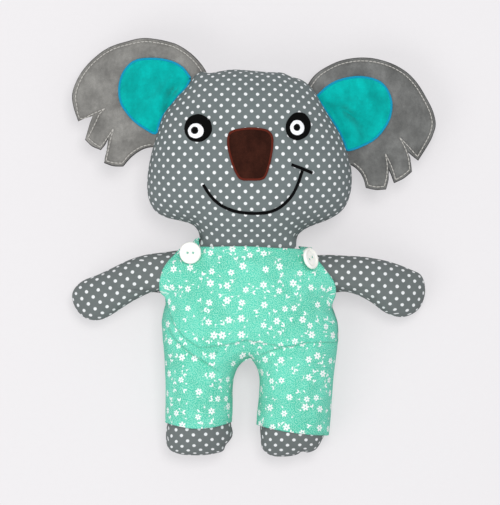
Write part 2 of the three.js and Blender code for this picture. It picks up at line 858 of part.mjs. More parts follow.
const smileShares = [
  [-0.445, 0.34],
  [-0.39, 0.29],
  [-0.32, 0.252],
  [-0.233, 0.222],
  [-0.113, 0.198],
  [0.037, 0.192],
  [0.187, 0.196],
  [0.307, 0.226],
  [0.412, 0.285],
  [0.472, 0.356],
  [0.512, 0.41],
];
const cheekShares = [
  [0.42, 0.463],
  [0.51, 0.444],
  [0.622, 0.418],
];
const smileLine = curveThrough(overHead(smileShares), smileSteps, false);
const cheekLine = curveThrough(overHead(cheekShares), cheekSteps, false);
addFacePiece('smile', bandAlong(smileLine, smileLineWidth), stitchHeight, blackThread);
addFacePiece('cheek_line', bandAlong(cheekLine, smileLineWidth), stitchHeight, blackThread);

// Ears, each a pair of felts sewn into the head's seam with a coloured felt on the front

const leftEar = {
  side: 'left',
  lowerShares: [-0.956, 0.567],
  upperShares: [-0.438, 0.998],
  rimShares: [
    [0.93, 0],
    [0.97, 0.14],
    [0.97, 0.32],
    [0.91, 0.57],
    [0.77, 0.77],
    [0.57, 0.92],
    [0.27, 1.01],
    [0.03, 0.98],
    [-0.13, 0.85],
    [-0.2, 0.75],
  ],
  fringeShares: [
    [-0.08, 0.68],
    [-0.31, 0.6],
    [-0.33, 0.4],
    [-0.16, 0.41],
    [-0.41, 0.31],
    [-0.33, 0.13],
    [-0.23, 0.13],
    [-0.14, 0.11],
    [-0.05, 0.05],
    [0, 0],
  ],
  appliqueShares: [
    [0.72, 0.04],
    [0.79, 0.13],
    [0.8, 0.34],
    [0.68, 0.56],
    [0.49, 0.66],
    [0.3, 0.61],
    [0.17, 0.47],
    [0.11, 0.28],
    [0.12, 0.03],
    [0.4, 0.05],
  ],
};
const rightEar = {
  side: 'right',
  lowerShares: [0.998, 0.466],
  upperShares: [0.588, 0.924],
  rimShares: [
    [0.91, 0],
    [0.98, 0.18],
    [0.98, 0.37],
    [0.91, 0.57],
    [0.75, 0.79],
    [0.52, 0.94],
    [0.24, 0.98],
    [-0.01, 0.94],
    [-0.18, 0.77],
    [-0.26, 0.62],
  ],
  fringeShares: [
    [-0.11, 0.55],
    [-0.33, 0.5],
    [-0.35, 0.3],
    [-0.19, 0.31],
    [-0.37, 0.2],
    [-0.27, 0.03],
    [-0.2, 0.04],
    [-0.11, 0.05],
    [-0.03, 0.03],
    [0, 0],
  ],
  appliqueShares: [
    [0.76, 0],
    [0.81, 0.15],
    [0.79, 0.34],
    [0.69, 0.54],
    [0.51, 0.66],
    [0.32, 0.62],
    [0.18, 0.44],
    [0.12, 0.18],
    [0.15, 0.03],
    [0.45, 0.03],
  ],
};

function addEar({ side, lowerShares, upperShares, rimShares, fringeShares, appliqueShares }) {
  const [lower, upper] = overHead([lowerShares, upperShares]);
  const along = upper.clone().sub(lower).normalize();
  const outwardTurn = side === 'left' ? 1 : -1;
  const outward = point(-along.y * outwardTurn, along.x * outwardTurn);
  const overEar = (shares) =>
    shares.map(([alongShare, outwardShare]) =>
      lower
        .clone()
        .addScaledVector(along, alongShare * earLength)
        .addScaledVector(outward, outwardShare * earLength));
  const pivotPlace = lower
    .clone()
    .addScaledVector(along, earLength / 2)
    .addScaledVector(outward, earHingeOut);
  const pivot = new THREE.Vector3(pivotPlace.x, pivotPlace.y, headMiddle);
  const axis = new THREE.Vector3(along.x, along.y, 0);
  const droop = new THREE.Matrix4()
    .makeTranslation(pivot.x, pivot.y, pivot.z)
    .multiply(new THREE.Matrix4().makeRotationAxis(axis, -earDroop * outwardTurn))
    .multiply(new THREE.Matrix4().makeTranslation(-pivot.x, -pivot.y, 0));
  const group = new THREE.Group();
  group.position.copy(pivot).sub(neckPivot);
  headGroup.add(group);
  const rim = curveThrough(overEar(rimShares), rimSteps, false);
  const outline = [...rim, ...overEar(fringeShares)];
  const layer = (shape, bottom, thickness, gap) => {
    const geometry = plate(shape, bottom, bottom + thickness);
    geometry.applyMatrix4(droop);
    return solidOf(geometry).subtract(headForm(gap));
  };
  const backBottom = -feltThickness / 2;
  const frontBottom = backBottom + feltThickness + clearance;
  const appliqueBottom = frontBottom + feltThickness + clearance;
  const setBack = earSeamGap + earSetBack;
  const front = grown(outline, -earBackPeek);
  addPiece(group, `${side}_ear_back`, layer(outline, backBottom, feltThickness, earSeamGap), greyFelt);
  addPiece(group, `${side}_ear_front`, layer(front, frontBottom, feltThickness, setBack), greyFelt);
  const applique = curveThrough(overEar(appliqueShares), outlineSteps, true);
  const appliqueFelt = grown(applique, -appliqueEdgeWidth - clearance);
  const edging = ringShape(applique, grown(applique, -appliqueEdgeWidth));
  addPiece(
    group,
    `${side}_inner_ear`,
    layer(appliqueFelt, appliqueBottom, appliqueThickness, setBack + appliqueSetBack + appliqueEdgeWidth),
    tealFelt,
  );
  addPiece(
    group,
    `${side}_inner_ear_edging`,
    layer(edging, appliqueBottom, appliqueThickness + stitchHeight / 2, setBack + appliqueSetBack),
    blueThread,
  );
  const inset = grown(outline, -topstitchInset - earBackPeek);
  const open = inset.slice(topstitchStartSkip, inset.length - topstitchEndSkip);
  const stitching = bandAlong(open, topstitchWidth);
  addPiece(
    group,
    `${side}_ear_topstitching`,
    layer(stitching, appliqueBottom, topstitchHeight, setBack),
    greyThread,
  );
}

addEar(leftEar);
addEar(rightEar);

// The origin is under the middle of the whole toy.
const box = new THREE.Box3().setFromObject(toy);
toy.position.set(-(box.min.x + box.max.x) / 2, -(box.min.y + box.max.y) / 2, -box.min.z);

export default toy;
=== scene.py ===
"""A stuffed koala in cotton dungarees, lying on its back: its cloth, felt, thread and buttons."""

import math

import bmesh
import bpy
import numpy as np
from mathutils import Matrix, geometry


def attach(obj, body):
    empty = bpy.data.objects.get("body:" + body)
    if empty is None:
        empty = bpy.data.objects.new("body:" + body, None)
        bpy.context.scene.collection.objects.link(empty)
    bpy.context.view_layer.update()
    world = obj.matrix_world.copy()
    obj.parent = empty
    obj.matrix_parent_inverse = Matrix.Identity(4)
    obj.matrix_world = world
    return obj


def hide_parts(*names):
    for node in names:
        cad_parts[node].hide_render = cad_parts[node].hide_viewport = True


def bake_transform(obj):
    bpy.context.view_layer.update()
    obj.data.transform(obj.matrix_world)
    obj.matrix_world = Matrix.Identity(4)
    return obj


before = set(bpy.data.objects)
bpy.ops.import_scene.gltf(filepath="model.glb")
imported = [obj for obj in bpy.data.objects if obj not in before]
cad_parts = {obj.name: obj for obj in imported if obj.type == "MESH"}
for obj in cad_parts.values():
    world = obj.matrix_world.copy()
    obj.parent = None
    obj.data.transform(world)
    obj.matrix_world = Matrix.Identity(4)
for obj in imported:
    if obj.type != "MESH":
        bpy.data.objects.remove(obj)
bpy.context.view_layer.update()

# Places are given as columns and rows of the reference view, which looks straight down.
PITCH = 0.00075
VIEW_MIDDLE = np.array([251.66, 248.19])
CENTRE_COLUMN = 249.5

# Heights of the side seams above the surface, in metres
TORSO_SEAM = 0.0318
HEAD_SEAM = 0.0395
HAND_SEAM = 0.0157
FOOT_SEAM = 0.0222

CLOTH = 0.0006
STRAP_CLOTH = 0.001
FELT = 0.0013
FULL_TURN = 6.283


def spots(points):
    """Columns and rows of the view as places in metres."""
    return (np.array(points, float) - VIEW_MIDDLE) * [PITCH, -PITCH]


def spot(column, row):
    """One column and row of the view as a place in metres."""
    return spots([(column, row)])[0]


def smooth(share):
    """Rises from 0 to 1 with level ends: 3s^2 - 2s^3."""
    s = np.clip(share, 0, 1)
    return s * s * (3 - 2 * s)


def spaced(line, step, closed=False):
    """The same line with points at even distances along it."""
    line = np.vstack([line, line[:1]]) if closed else line
    gone = np.concatenate([[0], np.cumsum(np.linalg.norm(np.diff(line, axis=0), axis=1))])
    count = max(2, int(round(gone[-1] / step)))
    at = np.linspace(0, gone[-1], count + 1)
    at = at[:-1] if closed else at
    return np.stack([np.interp(at, gone, line[:, k]) for k in range(line.shape[1])], 1)


def curve(points, step=0.001, closed=False):
    """A smooth line through points: between two of them it is the cubic whose slope at each is
    half the way from the point before to the point after (Catmull-Rom), then evenly spaced."""
    p = np.array(points, float)
    if closed:
        before, after, later = np.roll(p, 1, 0), np.roll(p, -1, 0), np.roll(p, -2, 0)
        start = p
    else:
        padded = np.vstack([2 * p[0] - p[1], p, 2 * p[-1] - p[-2]])
        before, start, after, later = padded[:-3], padded[1:-2], padded[2:-1], padded[3:]
    t = np.linspace(0, 1, 12, endpoint=False)[None, :, None]
    a, b, c, d = (x[:, None, :] for x in (before, start, after, later))
    part = 0.5 * (2 * b + (c - a) * t + (2 * a - 5 * b + 4 * c - d) * t**2 + (3 * b - a - 3 * c + d) * t**3)
    line = part.reshape(-1, p.shape[1])
    if not closed:
        line = np.vstack([line, p[-1:]])
    return spaced(line, step, closed)


def ripples(places, size, seed, count=16):
    """Uneven waves of about one size: a sum of sines in random directions, about -1 to 1."""
    rng = np.random.default_rng(seed)
    angle = rng.uniform(0, 2 * math.pi, (count, places.shape[1]))
    way = rng.normal(size=(places.shape[1], count))
    way /= np.linalg.norm(way, axis=0)
    way *= 2 * math.pi / (size * rng.uniform(0.7, 1.5, count))
    return np.sin(places @ way + angle[:, 0]).sum(1) / math.sqrt(count)


def inside(places, ring):
    """True where a ray along +x from a place crosses the ring an odd number of times."""
    a, b = ring, np.roll(ring, -1, 0)
    found = []
    for part in np.array_split(places, max(1, len(places) * len(ring) // 4_000_000)):
        x, y = part[:, :1], part[:, 1:]
        spans = (a[:, 1] > y) != (b[:, 1] > y)
        with np.errstate(divide="ignore", invalid="ignore"):
            reach = a[:, 0] + (y - a[:, 1]) * (b[:, 0] - a[:, 0]) / (b[:, 1] - a[:, 1])
        found.append((spans & (x < reach)).sum(1) % 2 == 1)
    return np.concatenate(found)


def from_line(places, a, b, want_side=False):
    """Distance of each place from the nearest of the segments a to b, and its side of it."""
    out, sides, shares = [], [], []
    run = b - a
    size = np.maximum((run**2).sum(1), 1e-18)
    for part in np.array_split(places, max(1, len(places) * len(a) // 3_000_000)):
        t = np.clip((((part[:, None] - a) * run).sum(2)) / size, 0, 1)
        gap = part[:, None] - (a + run * t[..., None])
        far = (gap**2).sum(2)
        best = far.argmin(1)
        rows = np.arange(len(part))
        out.append(np.sqrt(far[rows, best]))
        if want_side:
            near = gap[rows, best]
            sides.append(np.sign(run[best, 0] * near[:, 1] - run[best, 1] * near[:, 0]))
            shares.append((best + t[rows, best]) / len(a))
    if want_side:
        return np.concatenate(out), np.concatenate(sides), np.concatenate(shares)
    return np.concatenate(out)


def from_ring(places, ring):
    """Distance of each place from a closed outline."""
    return from_line(places, ring, np.roll(ring, -1, 0))


def turned_by(angle):
    """The matrix of a turn in the plan."""
    return np.array([[math.cos(angle), -math.sin(angle)], [math.sin(angle), math.cos(angle)]])


# Outlines of the stuffed toy

HEAD_RING = curve(spots([
    (201, 71.5), (209.6, 73), (221, 71), (233, 69.5), (250, 70.4), (267, 72), (282, 72.6),
    (291, 76.5), (301, 79.5), (309, 85), (315.5, 93), (324, 108), (333, 122.5), (340.5, 135),
    (346, 149), (350.4, 163), (352, 177), (351, 191), (346.8, 204), (339.5, 213), (328, 219.8),
    (313, 225.5), (303, 230.5), (297.3, 237), (296, 247), (296, 262), (250, 268), (201, 262),
    (200.3, 247), (198.6, 233), (192.5, 225), (181, 221), (166, 217.5), (154.5, 210.5),
    (148.6, 199), (147, 186), (147.8, 172), (150, 159), (153, 147), (157, 134), (161.5, 119),
    (166.5, 110), (172, 103.5), (178, 96), (184.5, 89.5), (190.5, 82), (194.5, 75.5),
]), 0.0014, True)

LEFT_ARM_RING = curve(spots([
    (192, 249), (180, 250), (165.4, 252), (149, 254), (138.6, 256.4), (127, 260.4),
    (112, 267.6), (97, 274.6), (83, 280), (75.5, 285.6), (71.2, 292), (70.6, 299), (73.4, 307.5),
    (78.6, 314.6), (85.5, 319.4), (94, 321), (103, 319.4), (113.6, 313.6), (122.5, 307.7),
    (133, 301.2), (143, 296), (151, 292.7), (161, 291.8), (176, 293), (192, 292),
]), 0.0012, True)

RIGHT_ARM_RING = curve(spots([
    (304, 255), (316, 255), (331, 254.8), (347, 255.6), (363, 256.5), (376, 258.4),
    (389, 261.2), (401, 265), (413.6, 270.2), (421.5, 274), (425.6, 281.5), (426.8, 292),
    (424.8, 301), (421, 308.6), (414.8, 314), (407, 317.2), (399, 317.5), (389.6, 314.8),
    (382, 310.6), (374.7, 304.8), (366.4, 299.6), (356.4, 294.8), (345.7, 292), (335, 292.4),
    (320, 294), (304, 293),
]), 0.0012, True)

# The dungarees' rows from the hem up: column and row at the inner end, then at the outer end
LEFT_ROWS = [
    (231, 422.5, 165.5, 422.8), (231.7, 412, 165.8, 412), (231.8, 400, 166, 400),
    (231.9, 387, 166, 385), (234, 374.7, 165.5, 370), (239.4, 364.5, 165, 357),
    (CENTRE_COLUMN, 357.5, 164, 347), (CENTRE_COLUMN, 350, 163.2, 338),
    (CENTRE_COLUMN, 342, 162.8, 330), (CENTRE_COLUMN, 333, 162.3, 322),
    (CENTRE_COLUMN, 322, 164, 312), (CENTRE_COLUMN, 311, 165.9, 304),
    (CENTRE_COLUMN, 301, 165.8, 298), (CENTRE_COLUMN, 293, 162.6, 292.5),
    (CENTRE_COLUMN, 286, 160.2, 286.5), (CENTRE_COLUMN, 278, 160.2, 279.5),
    (CENTRE_COLUMN, 270, 162.6, 270.5), (CENTRE_COLUMN, 262, 168, 262),
    (CENTRE_COLUMN, 254, 174.5, 255), (CENTRE_COLUMN, 246.4, 181.5, 247.8),
]
RIGHT_ROWS = [
    (257.2, 425.4, 328.5, 436), (258, 413, 330.2, 419), (259.6, 398, 331.3, 402),
    (260.4, 382, 332.6, 383), (259, 371.5, 334, 369), (255, 363, 335.6, 357),
    (CENTRE_COLUMN, 357.5, 337, 346), (CENTRE_COLUMN, 350, 337.4, 338),
    (CENTRE_COLUMN, 342, 337.4, 330), (CENTRE_COLUMN, 333, 336.8, 322),
    (CENTRE_COLUMN, 322, 334, 314), (CENTRE_COLUMN, 311, 331.8, 308),
    (CENTRE_COLUMN, 301, 331.6, 302.5), (CENTRE_COLUMN, 293, 334.2, 296),
    (CENTRE_COLUMN, 286, 335.2, 289.5), (CENTRE_COLUMN, 278, 332.6, 281.5),
    (CENTRE_COLUMN, 270, 327.8, 274.5), (CENTRE_COLUMN, 262, 321.6, 266.8),
    (CENTRE_COLUMN, 254, 315, 258.8), (CENTRE_COLUMN, 247.2, 308, 250.6),
]
CROTCH_ROW = 6
WAIST_ROW = 12

LEFT_SOLE = [
    (166, 445), (169.8, 451.6), (180, 455.6), (192, 456.6), (204, 456.4), (216, 454.6), (223.4, 452),
    (225.6, 446.5), (230, 441.4), (232.8, 435),
]
RIGHT_SOLE = [
    (260.6, 440), (262, 449), (267, 454.6), (274, 457.6), (287, 457.8), (297, 456), (302.6, 452.8),
    (309, 453.8), (317, 450), (322.4, 441),
]
LEFT_FOOT_RING = curve(spots([
    (172, 405), (167, 423), (165.4, 435), *LEFT_SOLE, (231, 423), (227, 405),
]), 0.001, True)
RIGHT_FOOT_RING = curve(spots([
    (262, 407), (260.6, 426), *RIGHT_SOLE, (325.5, 432), (324, 412),
]), 0.001, True)


def row_ends(rows):
    """The rows' inner and outer ends as places."""
    table = np.array(rows, float)
    return spots(table[:, :2]), spots(table[:, 2:])


left_inner, left_outer = row_ends(LEFT_ROWS)
right_inner, right_outer = row_ends(RIGHT_ROWS)
# The body's outline under the arms runs a little inside the bib's side edges.
UNDER_ARM_ROW = 13
left_side = left_outer.copy()
right_side = right_outer.copy()
left_side[UNDER_ARM_ROW:, 0] = np.maximum(left_side[UNDER_ARM_ROW:, 0], spot(171, 0)[0])
right_side[UNDER_ARM_ROW:, 0] = np.minimum(right_side[UNDER_ARM_ROW:, 0], spot(327, 0)[0])
BODY_RING = np.vstack([
    curve(left_side, 0.0012),
    curve(right_side[::-1], 0.0012),
    curve(np.vstack([right_inner[0], right_inner[1:CROTCH_ROW], spot(CENTRE_COLUMN, 357.5),
                     left_inner[1:CROTCH_ROW][::-1], left_inner[0]]), 0.0012),
])


# The shoulders are blunt: the stuffing is worked out as if they went on a little further.
SHOULDER_COLUMNS = [182, 201, 298, 309]
SHOULDER_ROWS = [247.8, 248, 249.6, 251]
LEFT_SHOULDER = curve(spots([
    (183, 256), (182.6, 247), (184, 239.5), (200, 237), (204, 256),
]), 0.0012, True)
RIGHT_SHOULDER = curve(spots([(293, 256), (296, 237), (306, 240.5), (307.6, 250), (307, 258)]), 0.0012, True)


# How far the stuffing swells

CELL = 0.00125
GRID_LOW = np.array([-0.145, -0.168])
GRID_SHAPE = (268, 236)
# Each outline with how strongly the stuffing pushes there
RINGS = [
    (BODY_RING, 0.7), (HEAD_RING, 1.2), (LEFT_ARM_RING, 1.7), (RIGHT_ARM_RING, 1.7),
    (LEFT_FOOT_RING, 2.0), (RIGHT_FOOT_RING, 2.0), (LEFT_SHOULDER, 0.7), (RIGHT_SHOULDER, 0.7),
]


def open_edges():
    """The stretches of the outlines that lie in no other outline, as segments."""
    starts, ends = [], []
    for index, (ring, _) in enumerate(RINGS):
        a, b = ring, np.roll(ring, -1, 0)
        free = np.ones(len(ring), bool)
        for other, (cover, _) in enumerate(RINGS):
            if other != index:
                free &= ~inside((a + b) / 2, cover)
        starts.append(a[free])
        ends.append(b[free])
    return np.vstack(starts), np.vstack(ends)


EDGE_A, EDGE_B = open_edges()


def blurred(field, times):
    """Each cell becomes the mean of itself and its neighbours, a number of times over."""
    for _ in range(times):
        for axis in (0, 1):
            field = (np.roll(field, 1, axis) + 2 * field + np.roll(field, -1, axis)) / 4
    return field


def stuffing():
    """Solves for the field whose curvature (Laplacian) is minus the push and that is zero at
    the outline. Its square root is how far the cloth stands off the seam's level: a half
    circle across a limb. Near the edge the field is its slope there times the distance."""
    rows, columns = GRID_SHAPE
    x = GRID_LOW[0] + CELL * np.arange(columns)
    y = GRID_LOW[1] + CELL * np.arange(rows)
    places = np.stack(np.meshgrid(x, y), 2).reshape(-1, 2)
    push = np.zeros(rows * columns)
    for ring, strength in RINGS:
        low, high = ring.min(0), ring.max(0)
        near = np.flatnonzero(((places >= low) & (places <= high)).all(1))
        held = near[inside(places[near], ring)]
        push[held] = np.maximum(push[held], strength)
    # the legs push harder than the belly, and the neck less than the head
    legs = smooth((spot(0, 352)[1] - places[:, 1]) / 0.03)
    neck = np.exp(-(((places[:, 1] - spot(0, 240)[1]) / 0.014) ** 2)) * (np.abs(places[:, 0]) < 0.05)
    push = np.where(push > 0, push + (2.0 - push) * legs, 0) * (1 - 0.75 * neck)
    push = push.reshape(rows, columns)
    held = push > 0
    push = np.where(held, blurred(push, 6) / np.maximum(blurred(held.astype(float), 6), 0.05), 0)

    def spread(field):
        """Four times each cell less its four neighbours, and nothing where the field isn't held."""
        field = np.where(held, field, 0)
        total = 4 * field
        for axis in (0, 1):
            total -= np.roll(field, 1, axis) + np.roll(field, -1, axis)
        return np.where(held, total, 0)

    wanted = push * CELL**2
    field = np.zeros_like(push)
    left = wanted.copy()
    step = left.copy()
    size = (left**2).sum()
    for _ in range(600):
        moved = spread(step)
        share = size / (step * moved).sum()
        field += share * step
        left -= share * moved
        fresh = (left**2).sum()
        if fresh < 1e-14 * (wanted**2).sum():
            break
        step = left + fresh / size * step
        size = fresh
    far = np.full(rows * columns, 0.02)
    close = np.flatnonzero(held.reshape(-1) & (field.reshape(-1) < 4e-4))
    far[close] = from_line(places[close], EDGE_A, EDGE_B)
    far = far.reshape(rows, columns)
    band = held & (far > 0.0022) & (far < 0.009)
    slope = np.where(band, field / np.maximum(far, 1e-6), 0)
    weight = band.astype(float)
    for _ in range(8):
        slope, weight = blurred(slope, 2), blurred(weight, 2)
        known = np.maximum(weight, 1e-9)
        slope = np.where(band, field / np.maximum(far, 1e-6), slope / known)
        weight = np.clip(weight * 40, 0, 1)
        slope *= weight
    slope = slope / np.maximum(weight, 1e-9)
    return field, slope


SWELL, SLOPE = stuffing()


def shoulder_edge(across):
    """How far up the shoulders reach at each distance across the toy."""
    columns = spots([(column, 0) for column in SHOULDER_COLUMNS])[:, 0]
    return np.interp(across, columns, spots([(0, row) for row in SHOULDER_ROWS])[:, 1])


def read_grid(values, low, cell, places):
    """The values of a grid at places between its points, by linear blending."""
    at = np.clip((places - low) / cell, 0, [values.shape[1] - 1.001, values.shape[0] - 1.001])
    start = at.astype(int)
    u, v = (at - start).T
    i, j = start[:, 1], start[:, 0]
    return (values[i, j] * (1 - u) * (1 - v) + values[i, j + 1] * u * (1 - v)
            + values[i + 1, j] * (1 - u) * v + values[i + 1, j + 1] * u * v)


def plan_grid(low, high, cell):
    """The places of a square grid between two corners, and its rows and columns."""
    x = np.arange(low[0], high[0] + cell, cell)
    y = np.arange(low[1], high[1] + cell, cell)
    return np.stack(np.meshgrid(x, y), 2).reshape(-1, 2), (len(y), len(x))


def swell(places):
    """How far the cloth stands above and below the seam's level at places on the plan."""
    deep = read_grid(SWELL, GRID_LOW, CELL, places)
    near = np.flatnonzero(deep < 4.5e-4)
    far = np.full(len(places), 0.02)
    if len(near):
        far[near] = from_line(places[near], EDGE_A, EDGE_B)
    share = smooth((far - 0.0025) / 0.005)
    edge = read_grid(SLOPE, GRID_LOW, CELL, places) * far
    tall = np.sqrt(np.maximum(edge * (1 - share) + deep * share, 0))
    # the neck is a little hollow, and the shoulders close in a short round
    column = places[:, 0] / PITCH + VIEW_MIDDLE[0]
    below = (shoulder_edge(places[:, 0]) - places[:, 1]) / 0.009
    corner = (1 - (1 - np.clip(below, 0, 1)) ** 2.5) ** 0.4
    where = smooth((column - 179) / 5) * smooth((201 - column) / 3)
    where += smooth((column - 296.5) / 3) * smooth((312 - column) / 5)
    where *= below > 0
    hollow = 0.16 * np.exp(-(((places[:, 1] - spot(0, 243)[1]) / 0.011) ** 2))
    hollow = hollow * smooth((0.05 - np.abs(places[:, 0])) / 0.02)
    return tall * (1 - where * (1 - corner)) * (1 - hollow)


def body_level(places):
    """Height of the seam: level along the body, sinking along each arm and each leg."""
    out = np.maximum(spot(170, 0)[0] - places[:, 0], places[:, 0] - spot(328, 0)[0]) / 0.076
    arm = np.interp(out, [0, 0.14, 0.34, 0.6, 0.8, 0.94], [0, 0.06, 0.28, 0.64, 0.9, 1])
    down = (spot(0, 357)[1] - places[:, 1]) / 0.0755
    leg = np.interp(down, [0, 0.1, 0.3, 0.5, 0.7, 0.85, 1], [0, 0.08, 0.32, 0.58, 0.84, 1, 1.08])
    up = smooth((places[:, 1] + 0.002) / 0.044)
    return (TORSO_SEAM + (HAND_SEAM - TORSO_SEAM) * arm + (FOOT_SEAM - TORSO_SEAM) * leg
            + (HEAD_SEAM - TORSO_SEAM) * up)


def flattened(places, middle, turn=0.0, both=False, cell=0.001):
    """Where places on a curved cloth lie when it is flat: how far they are from a middle place,
    measured over the swollen cloth along one direction, or along both. Near an outline the
    cloth is so steep that the way there is mostly its fall, which is added point by point."""
    spin = turned_by(turn)
    turned, centre = places @ spin, middle @ spin
    low = turned.min(0) - 2 * cell
    grid, shape = plan_grid(low, turned.max(0) + 2 * cell, cell)
    tall = swell(grid @ spin.T).reshape(shape)
    fall = read_grid(tall, low, cell, turned) - swell(places)
    steep = np.gradient(tall, cell)
    uphill = np.stack([read_grid(steep[1], low, cell, turned), read_grid(steep[0], low, cell, turned)], 1)
    uphill = uphill / np.maximum(np.linalg.norm(uphill, axis=1), 1e-6)[:, None]
    out = turned - centre
    for way in (0, 1)[: 1 + both]:
        axis = 1 - way
        start = tall[:, :1] if way == 0 else tall[:1]
        run = np.cumsum(np.hypot(cell, np.diff(tall, axis=axis, prepend=start)), axis)
        at = (centre[way] - low[way]) / cell
        k = int(np.clip(at, 0, shape[axis] - 2))
        near, after = np.take(run, [k], axis), np.take(run, [k + 1], axis)
        signed = read_grid(run - near - (at - k) * (after - near), low, cell, turned)
        out[:, way] = signed - uphill[:, way] * fall
    return out


LUMP = 0.0005


def lumps(places, side):
    """Uneven stuffing, a different set of ripples for the front and for the back."""
    return LUMP * (ripples(places, 0.034, 5 + side) + 0.3 * ripples(places, 0.015, 9 + side))


def front(places):
    """Height of the toy's front at places on the plan."""
    tall = swell(places)
    return body_level(places) + np.maximum(tall + lumps(places, 1) * smooth(tall / 0.012), 0)


def rear(places):
    """Height of the toy's back, which is flattened where it lies on the floor."""
    tall = swell(places)
    low = body_level(places) - np.maximum(tall + lumps(places, -1) * smooth(tall / 0.012), 0)
    return resting(low)


def resting(low):
    """Heights near or under the floor are pressed up to it, in a soft bend 3 mm long."""
    soft = 0.003
    pressed = np.where(low < soft, soft / 3 + (low + soft) ** 2 / (6 * soft) - soft / 3, low)
    return np.where(low < -soft, 0, np.minimum(np.maximum(pressed, 0), np.maximum(low, 0.0) + 0.0007))


# Meshes


def add_piece(name, points, faces, flat=None, finish=None, weld=True, outward=False):
    """Makes a piece of points and faces. flat gives each point's place on the flat cloth."""
    mesh = bpy.data.meshes.new(name)
    mesh.from_pydata(points.tolist(), [], [f for f in faces])
    if flat is not None:
        layer = mesh.uv_layers.new(name="flat")
        corners = np.zeros(len(mesh.loops), np.int32)
        mesh.loops.foreach_get("vertex_index", corners)
        layer.data.foreach_set("uv", flat[corners].astype(np.float32).reshape(-1))
    if weld:
        work = bmesh.new()
        work.from_mesh(mesh)
        bmesh.ops.remove_doubles(work, verts=work.verts, dist=2e-5)
        bmesh.ops.dissolve_degenerate(work, edges=work.edges, dist=1e-7)
        if outward:
            bmesh.ops.recalc_face_normals(work, faces=work.faces)
        work.to_mesh(mesh)
        work.free()
    mesh.polygons.foreach_set("use_smooth", np.ones(len(mesh.polygons), bool))
    piece = bpy.data.objects.new(name, mesh)
    bpy.context.scene.collection.objects.link(piece)
    if finish is not None:
        mesh.materials.append(finish)
    return piece


def net(rows, columns, wrap=False, start=0, turned=False):
    """Four-sided faces between neighbouring points of a grid."""
    i = np.arange(rows - 1)[:, None]
    j = np.arange(columns if wrap else columns - 1)[None]
    k = (j + 1) % columns
    quads = np.stack([i * columns + j, i * columns + k, (i + 1) * columns + k, (i + 1) * columns + j], 2)
    quads = quads.reshape(-1, 4) + start
    return (quads[:, ::-1] if turned else quads).tolist()


def lifted(grid, amount):
    """Moves each point of a grid along its normal, the cross product of the grid's two slopes."""
    along = np.gradient(grid, axis=0)
    across = np.gradient(grid, axis=1)
    normal = np.cross(across, along)
    normal /= np.maximum(np.linalg.norm(normal, axis=2, keepdims=True), 1e-12)
    return grid + normal * (amount[..., None] if np.ndim(amount) else amount)


def pillow(name, ring, centre, rows, finish, inset=None, grain=0.0, seed=0, pucker=0.0005, lie=None):
    """Two cloths sewn along one outline and stuffed. A point lies a share sin(t) of the way from
    the centre to the outline, and stands the swell above or below the seam's level. Each
    point's place on the flat cloth is its distance from the centre measured over the surface,
    straight out, or for a limb along and across the way it lies."""
    count = len(ring)
    share = np.sin(np.linspace(0, math.pi / 2, rows + 1))
    plan = centre + (ring - centre)[None] * share[:, None, None]
    flat_plan = plan.reshape(-1, 2)
    tall = swell(flat_plan)
    level = body_level(flat_plan)
    edge = from_ring(flat_plan, ring).reshape(rows + 1, count)
    travel = np.linspace(0, 1, count, endpoint=False)[None] * count * 0.0012
    angle = travel / travel.max() * FULL_TURN
    around = np.stack([np.cos(angle), np.sin(angle)], 2)
    around = np.repeat(around * travel.max() / FULL_TURN, rows + 1, 0).reshape(-1, 2)
    parts, flats, faces = [], [], []
    turn = turned_by(grain)
    for side in (1, -1):
        seam = pucker * ripples(around, 0.009, seed + side) * np.exp(-edge.reshape(-1) / 0.007)
        seam = seam * smooth(edge.reshape(-1) / 0.0015)
        rise = np.maximum(tall + (seam + lumps(flat_plan, side)) * smooth(tall / 0.012), 0)
        if inset is not None:
            rise = np.maximum(rise - inset(flat_plan), 0)
        up = level + rise if side > 0 else resting(level - rise)
        surface = np.concatenate([flat_plan, up[:, None]], 1).reshape(rows + 1, count, 3)
        surface[0] = surface[0].mean(0)
        # the seam is drawn in a little
        off = surface[..., 2] - level.reshape(rows + 1, count)
        pinch = np.exp(-(off / 0.0012) ** 2) * (share[:, None] > 0.5)
        inward = (centre - ring) / np.linalg.norm(ring - centre, axis=1, keepdims=True)
        surface[..., :2] += 0.0005 * (pinch * (edge < 0.004))[..., None] * inward[None]
        step = np.linalg.norm(np.diff(surface, axis=0), axis=2)
        gone = np.concatenate([np.zeros((1, count)), np.cumsum(step, 0)])
        if lie is None:
            flat = (centre - inward[None] * gone[..., None]).reshape(-1, 2) @ turn
        else:
            flat = flattened(flat_plan, centre, lie, True) @ turned_by(lie).T @ turn
        faces += net(rows + 1, count, True, len(parts) * (rows + 1) * count, side < 0)
        parts.append(surface.reshape(-1, 3))
        flats.append(flat)
    size = (rows + 1) * count
    rim = np.arange(count) + rows * count
    nxt = np.roll(rim, -1)
    faces += np.stack([rim, rim + size, nxt + size, nxt], 1).tolist()
    return add_piece(name, np.vstack(parts), faces, np.vstack(flats), finish, outward=True)


def thicken(piece, thick, offset):
    """Gives a sheet its thickness: outwards for 1, inwards for -1, half each way for 0."""
    wall = piece.modifiers.new("thickness", "SOLIDIFY")
    wall.thickness = thick
    wall.offset = offset


